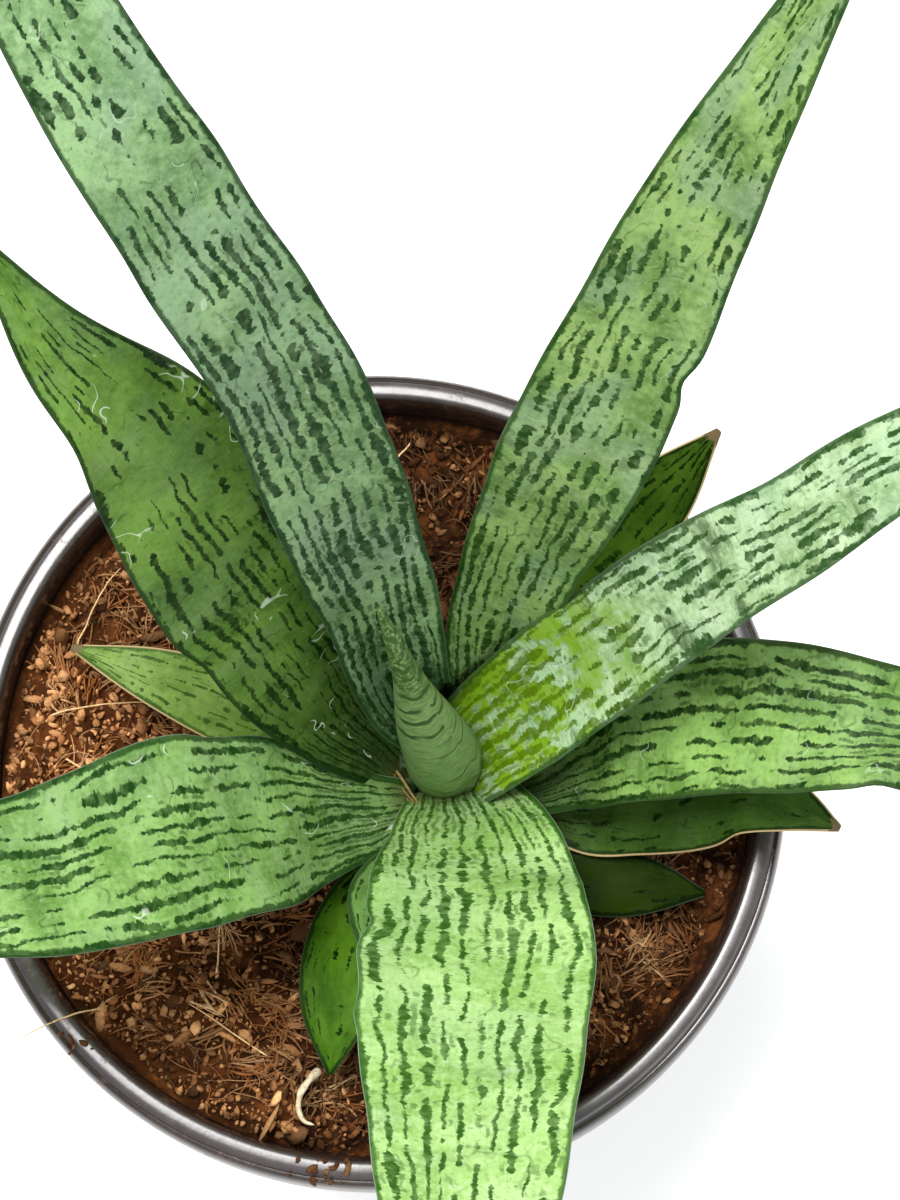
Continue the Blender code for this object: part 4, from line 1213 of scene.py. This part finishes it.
def wandering_path(random, start, heading, length, curl, lift, steps=9, free=False):
    """A fibre's route over the coir: it bends at random and rises in the middle.
    A free one may go over the rim."""
    bend = random.normal(0, curl) + np.cumsum(random.normal(0, curl * 0.35, steps))
    turn = heading + np.cumsum(np.full(steps, 1.0) * bend / steps)
    x = start[0] + np.concatenate([[0], np.cumsum(np.cos(turn[:-1]))]) * length / (steps - 1)
    y = start[1] + np.concatenate([[0], np.cumsum(np.sin(turn[:-1]))]) * length / (steps - 1)
    reach = np.hypot(x, y)
    inside = SOIL_RADIUS - 0.4 * MM
    pull = 1.0 if free else np.minimum(1, inside / np.maximum(reach, 1e-6))
    x, y = x * pull, y * pull
    share = np.linspace(0, 1, steps)
    z = coir_level(x, y) + 0.35 * MM + lift * np.sin(math.pi * share) * random.uniform(0.3, 1)
    if free:
        over = smooth_step(SOIL_RADIUS - 3 * MM, SOIL_RADIUS, np.hypot(x, y))
        z = np.maximum(z, z + (POT_TOP + 0.5 * MM - z) * over)
    z += random.normal(0, 0.25 * MM, steps)
    z[0] -= 1.2 * MM
    z[-1] -= random.uniform(-0.4, 1.2) * MM
    return np.stack([x, y, z], axis=1)


def coir_fibre_skin():
    settings = bpy.context.scene.snake_coir
    return coir_skin("coir_fibre", BROWN_FIBRE, tuple(settings.straw))


def make_fibres():
    """Loose coconut fibres, from brown threads to pale straw."""
    settings = bpy.context.scene.snake_coir
    random = np.random.default_rng(29)
    count = settings.fibres
    x, y = scatter_spots(random, count, SOIL_RADIUS - 2.5 * MM)
    # The coir's painted shade, which darkens the fibres where shadow falls.
    painted_shade = painted_coir_shade(x, y)
    strands, tones = [], []
    for index in range(count):
        length = (2 + 12 * random.beta(1.0, 3.6)) * MM
        path = wandering_path(random, (x[index], y[index]), random.uniform(0, TAU), length,
                              1.5, 1.8 * MM)
        radii = random.uniform(0.05, 0.11) * MM * np.linspace(1.0, 0.55, len(path))
        strands.append(strand_rings(path, radii, 4))
        tones.append((random.beta(0.8, 3.0), min(1.0, painted_shade[index] * random.uniform(0.4, 1.1))))

    # A few long pale fibres, one of them over the rim.
    for turn, reach, way, length in LONG_FIBRES:
        turn = math.radians(turn)
        start = (reach * MM * math.cos(turn), reach * MM * math.sin(turn))
        path = wandering_path(random, start, math.radians(way), length * MM, 0.5, 2.4 * MM,
                              steps=14, free=True)
        strands.append(strand_rings(path, 0.16 * MM * np.linspace(1.0, 0.5, 14), 5))
        tones.append((1.0, 0.0))
    data = join_strands("coir_fibres", strands, tones)
    return add_piece("coir_fibres", data, [coir_fibre_skin()])


def make_husk():
    """Torn husk: bundles of short fibres that lie the same way."""
    settings = bpy.context.scene.snake_coir
    random = np.random.default_rng(31)
    x, y = scatter_spots(random, settings.bundles, SOIL_RADIUS - 5 * MM)
    # The coir's painted shade, which darkens the bundles where shadow falls.
    painted_shade = painted_coir_shade(x, y)
    strands, tones = [], []
    for index in range(settings.bundles):
        way = random.uniform(0, TAU)
        length = random.uniform(3, 8) * MM
        tint = random.beta(1.0, 3.4)
        for _ in range(random.integers(7, 15)):
            start = (x[index] + random.normal(0, 1.0 * MM), y[index] + random.normal(0, 1.0 * MM))
            path = wandering_path(random, start, way + random.normal(0, 0.18),
                                  length * random.uniform(0.6, 1.1), 0.6, 0.8 * MM, steps=6)
            strands.append(strand_rings(path, np.full(6, random.uniform(0.08, 0.20) * MM), 4))
            tones.append((min(1.0, tint * random.uniform(0.5, 1.5)),
                          min(1.0, painted_shade[index] * random.uniform(0.4, 1.1))))
    data = join_strands("coir_husk", strands, tones)
    return add_piece("coir_husk", data, [coir_fibre_skin()])


def make_crown():
    """The short crown under the leaves, with a few dry threads of leaf sheath."""
    count, around = 26, 64
    share = np.linspace(0, 1, count)
    radius = (CROWN_HIGH.x - CROWN_LOW.x) / 2
    reach = radius * np.sqrt(np.maximum(0.0004, 1 - share ** 2.6))
    height = CROWN_LOW.z + (CROWN_HIGH.z - CROWN_LOW.z) * share ** 0.8
    turn = round_steps(around)
    wobble = 1 + 0.04 * np.sin(5 * turn)[None, :] + 0.03 * np.sin(11 * turn + 1)[None, :]
    x, y = polar(reach, turn)
    z = np.broadcast_to(height[:, None], x.shape)
    rings = np.stack([CROWN_MIDDLE.x + x * wobble, CROWN_MIDDLE.y + y * wobble, z], axis=2)
    data = sleeve("crown_stub", rings[:, ::-1])
    finish = plain_skin("crown_stub_skin", (0.16, 0.13, 0.045), (0.045, 0.030, 0.012), 0.8, 420.0)
    add_piece("crown_stub", data, [finish], ("crown",))
    strands, tones = [], []
    for route, thick, tone in SHEATH:
        read, _ = read_curve(route, np.linspace(0, 1, 16))
        path = np.array(LEAF_ROOT) + MM * read[:, :3]
        radii = thick * MM * np.linspace(1.0, 0.45, 16)
        strands.append(strand_rings(path, radii, 6))
        tones.append((tone, 0.1))
    random = np.random.default_rng(43)
    for _ in range(SHEATH_STUBS):
        turn = random.uniform(0, TAU)
        out = random.uniform(3.0, 8.5) * MM
        length = random.uniform(3, 8) * MM
        spot = np.array([CROWN_MIDDLE.x + out * math.cos(turn),
                         CROWN_MIDDLE.y + out * math.sin(turn), CROWN_HIGH.z - 0.4 * MM])
        steps = np.linspace(0, 1, 7)[:, None]
        away = np.array([math.cos(turn + random.normal(0, 0.5)),
                         math.sin(turn + random.normal(0, 0.5)), random.uniform(0.1, 1.0)])
        path = spot + away * steps * length * 0.6
        path[:, 2] += (0.5 * length * np.sin(steps[:, 0] * 2.0)) * random.uniform(0.1, 0.6)
        strands.append(strand_rings(path, 0.22 * MM * np.linspace(1.2, 0.4, 7), 6))
        tones.append((random.uniform(0, 1), random.uniform(0, 0.6)))
    data = join_strands("crown_sheath_threads", strands, tones)
    finish = coir_skin("sheath_thread", (0.10, 0.055, 0.018), (0.34, 0.24, 0.085), 900.0)
    add_piece("crown_sheath_threads", data, [finish])


def make_sprout():
    """The pale root tip, thick where it leaves the coir and pointed at its end."""
    read, _ = read_curve(SPROUT, np.linspace(0, 1, 40))
    path = read * MM
    path[:, 2] += float(coir_level(path[20, 0], path[20, 1])) + 0.9 * MM
    share = np.linspace(0, 1, 40)
    radii = 0.62 * MM * (1 - 0.55 * share) * (1 + 0.12 * np.sin(share * 19))
    radii[-3:] *= (0.85, 0.6, 0.3)
    data = sleeve("root_sprout_tip", strand_rings(path, radii, 14))
    finish = plain_skin("root_sprout_skin", (0.80, 0.72, 0.52), (0.52, 0.40, 0.22), 0.5, 900.0)
    return add_piece("root_sprout_tip", data, [finish], ("root_sprout",))


# ---------------------------------------------------------------- stage


def make_floor():
    reach = FLOOR_REACH
    points = [(-reach, -reach, 0), (reach, -reach, 0), (reach, reach, 0), (-reach, reach, 0)]
    floor = bpy.data.objects.new("floor", mesh_of("floor", points, [[0, 1, 2, 3]]))
    bpy.context.scene.collection.objects.link(floor)
    f = Finish("floor_paint")
    f.shader.inputs["Base Color"].default_value = (*bpy.context.scene.snake_stage.floor, 1)
    f.shader.inputs["Roughness"].default_value = 0.9
    f.shader.inputs["Emission Color"].default_value = (1, 1, 1, 1)
    f.shader.inputs["Emission Strength"].default_value = FLOOR_GLOW
    floor.data.materials.append(f.material)


def soft_light(name, place, size, power, colour):
    """A round area light, aimed at the middle of the pot's top."""
    data = bpy.data.lights.new(name, "AREA")
    data.shape = "DISK"
    data.size = size
    data.energy = power
    data.color = colour
    light = bpy.data.objects.new(name, data)
    light.location = place
    way = Vector((0, 0, POT_TOP)) - Vector(place)
    light.rotation_euler = way.to_track_quat("-Z", "Y").to_euler()
    bpy.context.scene.collection.objects.link(light)


def make_lights():
    settings = bpy.context.scene.snake_stage
    soft_light("key_light", KEY_PLACE, KEY_SIZE, settings.key, (1.0, 0.99, 0.97))
    soft_light("fill_light", FILL_PLACE, FILL_SIZE, settings.key * FILL_SHARE, SKY_COLOUR)
    world = bpy.data.worlds.new("soft_sky")
    world.use_nodes = True
    shade = world.node_tree.nodes["Background"]
    shade.inputs["Color"].default_value = (*SKY_COLOUR, 1.0)
    shade.inputs["Strength"].default_value = settings.sky
    bpy.context.scene.world = world
    bpy.context.scene.view_settings.view_transform = "Standard"


def make_camera():
    """Nearly overhead, tipped a little towards the plant's front."""
    settings = bpy.context.scene.snake_stage
    back = Vector((0, -math.cos(CAMERA_TILT), math.sin(CAMERA_TILT)))
    data = bpy.data.cameras.new("camera")
    data.sensor_width = 36.0
    data.lens = settings.lens
    data.clip_start = 0.01
    camera = bpy.data.objects.new("camera", data)
    camera.location = CAMERA_AIM + back * settings.distance
    camera.rotation_euler = (math.pi / 2 - CAMERA_TILT, 0, 0)
    bpy.context.scene.collection.objects.link(camera)
    bpy.context.scene.camera = camera


# ---------------------------------------------------------------- operators


class SNAKE_OT_pot(bpy.types.Operator):
    """Turn the nursery pot and cut its drain holes"""
    bl_idname = "snake.pot"
    bl_label = "Pot"

    def execute(self, context):
        make_pot()
        return {"FINISHED"}


class SNAKE_OT_coir(bpy.types.Operator):
    """Fill the pot with coir: packed ground, crumbs, loose fibres and torn husk"""
    bl_idname = "snake.coir"
    bl_label = "Coir"

    def execute(self, context):
        make_coir_ground()
        make_crumbs()
        make_fibres()
        make_husk()
        return {"FINISHED"}


class SNAKE_OT_crown(bpy.types.Operator):
    """Make the crown, its dry sheath threads and the root sprout"""
    bl_idname = "snake.crown"
    bl_label = "Crown and root sprout"

    def execute(self, context):
        make_crown()
        make_sprout()
        return {"FINISHED"}


class SNAKE_OT_leaves(bpy.types.Operator):
    """Grow the open leaves and the rolled central one"""
    bl_idname = "snake.leaves"
    bl_label = "Leaves"

    def execute(self, context):
        for name, leaf in LEAVES.items():
            make_leaf(name, leaf)
        make_spear()
        return {"FINISHED"}


class SNAKE_OT_stage(bpy.types.Operator):
    """Lay the floor and set up the soft lights and the camera"""
    bl_idname = "snake.stage"
    bl_label = "Stage"

    def execute(self, context):
        make_floor()
        make_lights()
        make_camera()
        return {"FINISHED"}


class SNAKE_PT_panel(bpy.types.Panel):
    """The plant's pieces, in the order in which they are made"""
    bl_label = "Snake Plant"
    bl_idname = "SNAKE_PT_panel"
    bl_space_type = "VIEW_3D"
    bl_region_type = "UI"
    bl_category = "Snake Plant"

    def draw(self, context):
        for key in ("pot", "coir", "leaf", "stage"):
            box = self.layout.box()
            group = getattr(context.scene, "snake_" + key)
            for prop in group.bl_rna.properties:
                if prop.identifier not in ("rna_type", "name"):
                    box.prop(group, prop.identifier)
        for step in STEPS:
            self.layout.operator("snake." + step)


STEPS = ("stage", "pot", "coir", "crown", "leaves")
GROUPS = {"snake_pot": PotSettings, "snake_coir": CoirSettings,
          "snake_leaf": LeafSettings, "snake_stage": StageSettings}
CLASSES = (*GROUPS.values(), SNAKE_OT_pot, SNAKE_OT_coir, SNAKE_OT_crown, SNAKE_OT_leaves,
           SNAKE_OT_stage, SNAKE_PT_panel)


def register():
    for made in CLASSES:
        bpy.utils.register_class(made)
    for key, group in GROUPS.items():
        setattr(bpy.types.Scene, key, PointerProperty(type=group))


def unregister():
    for key in GROUPS:
        delattr(bpy.types.Scene, key)
    for made in reversed(CLASSES):
        bpy.utils.unregister_class(made)


def main():
    register()
    for step in STEPS:
        getattr(bpy.ops.snake, step)()


if __name__ == "__main__":
    main()
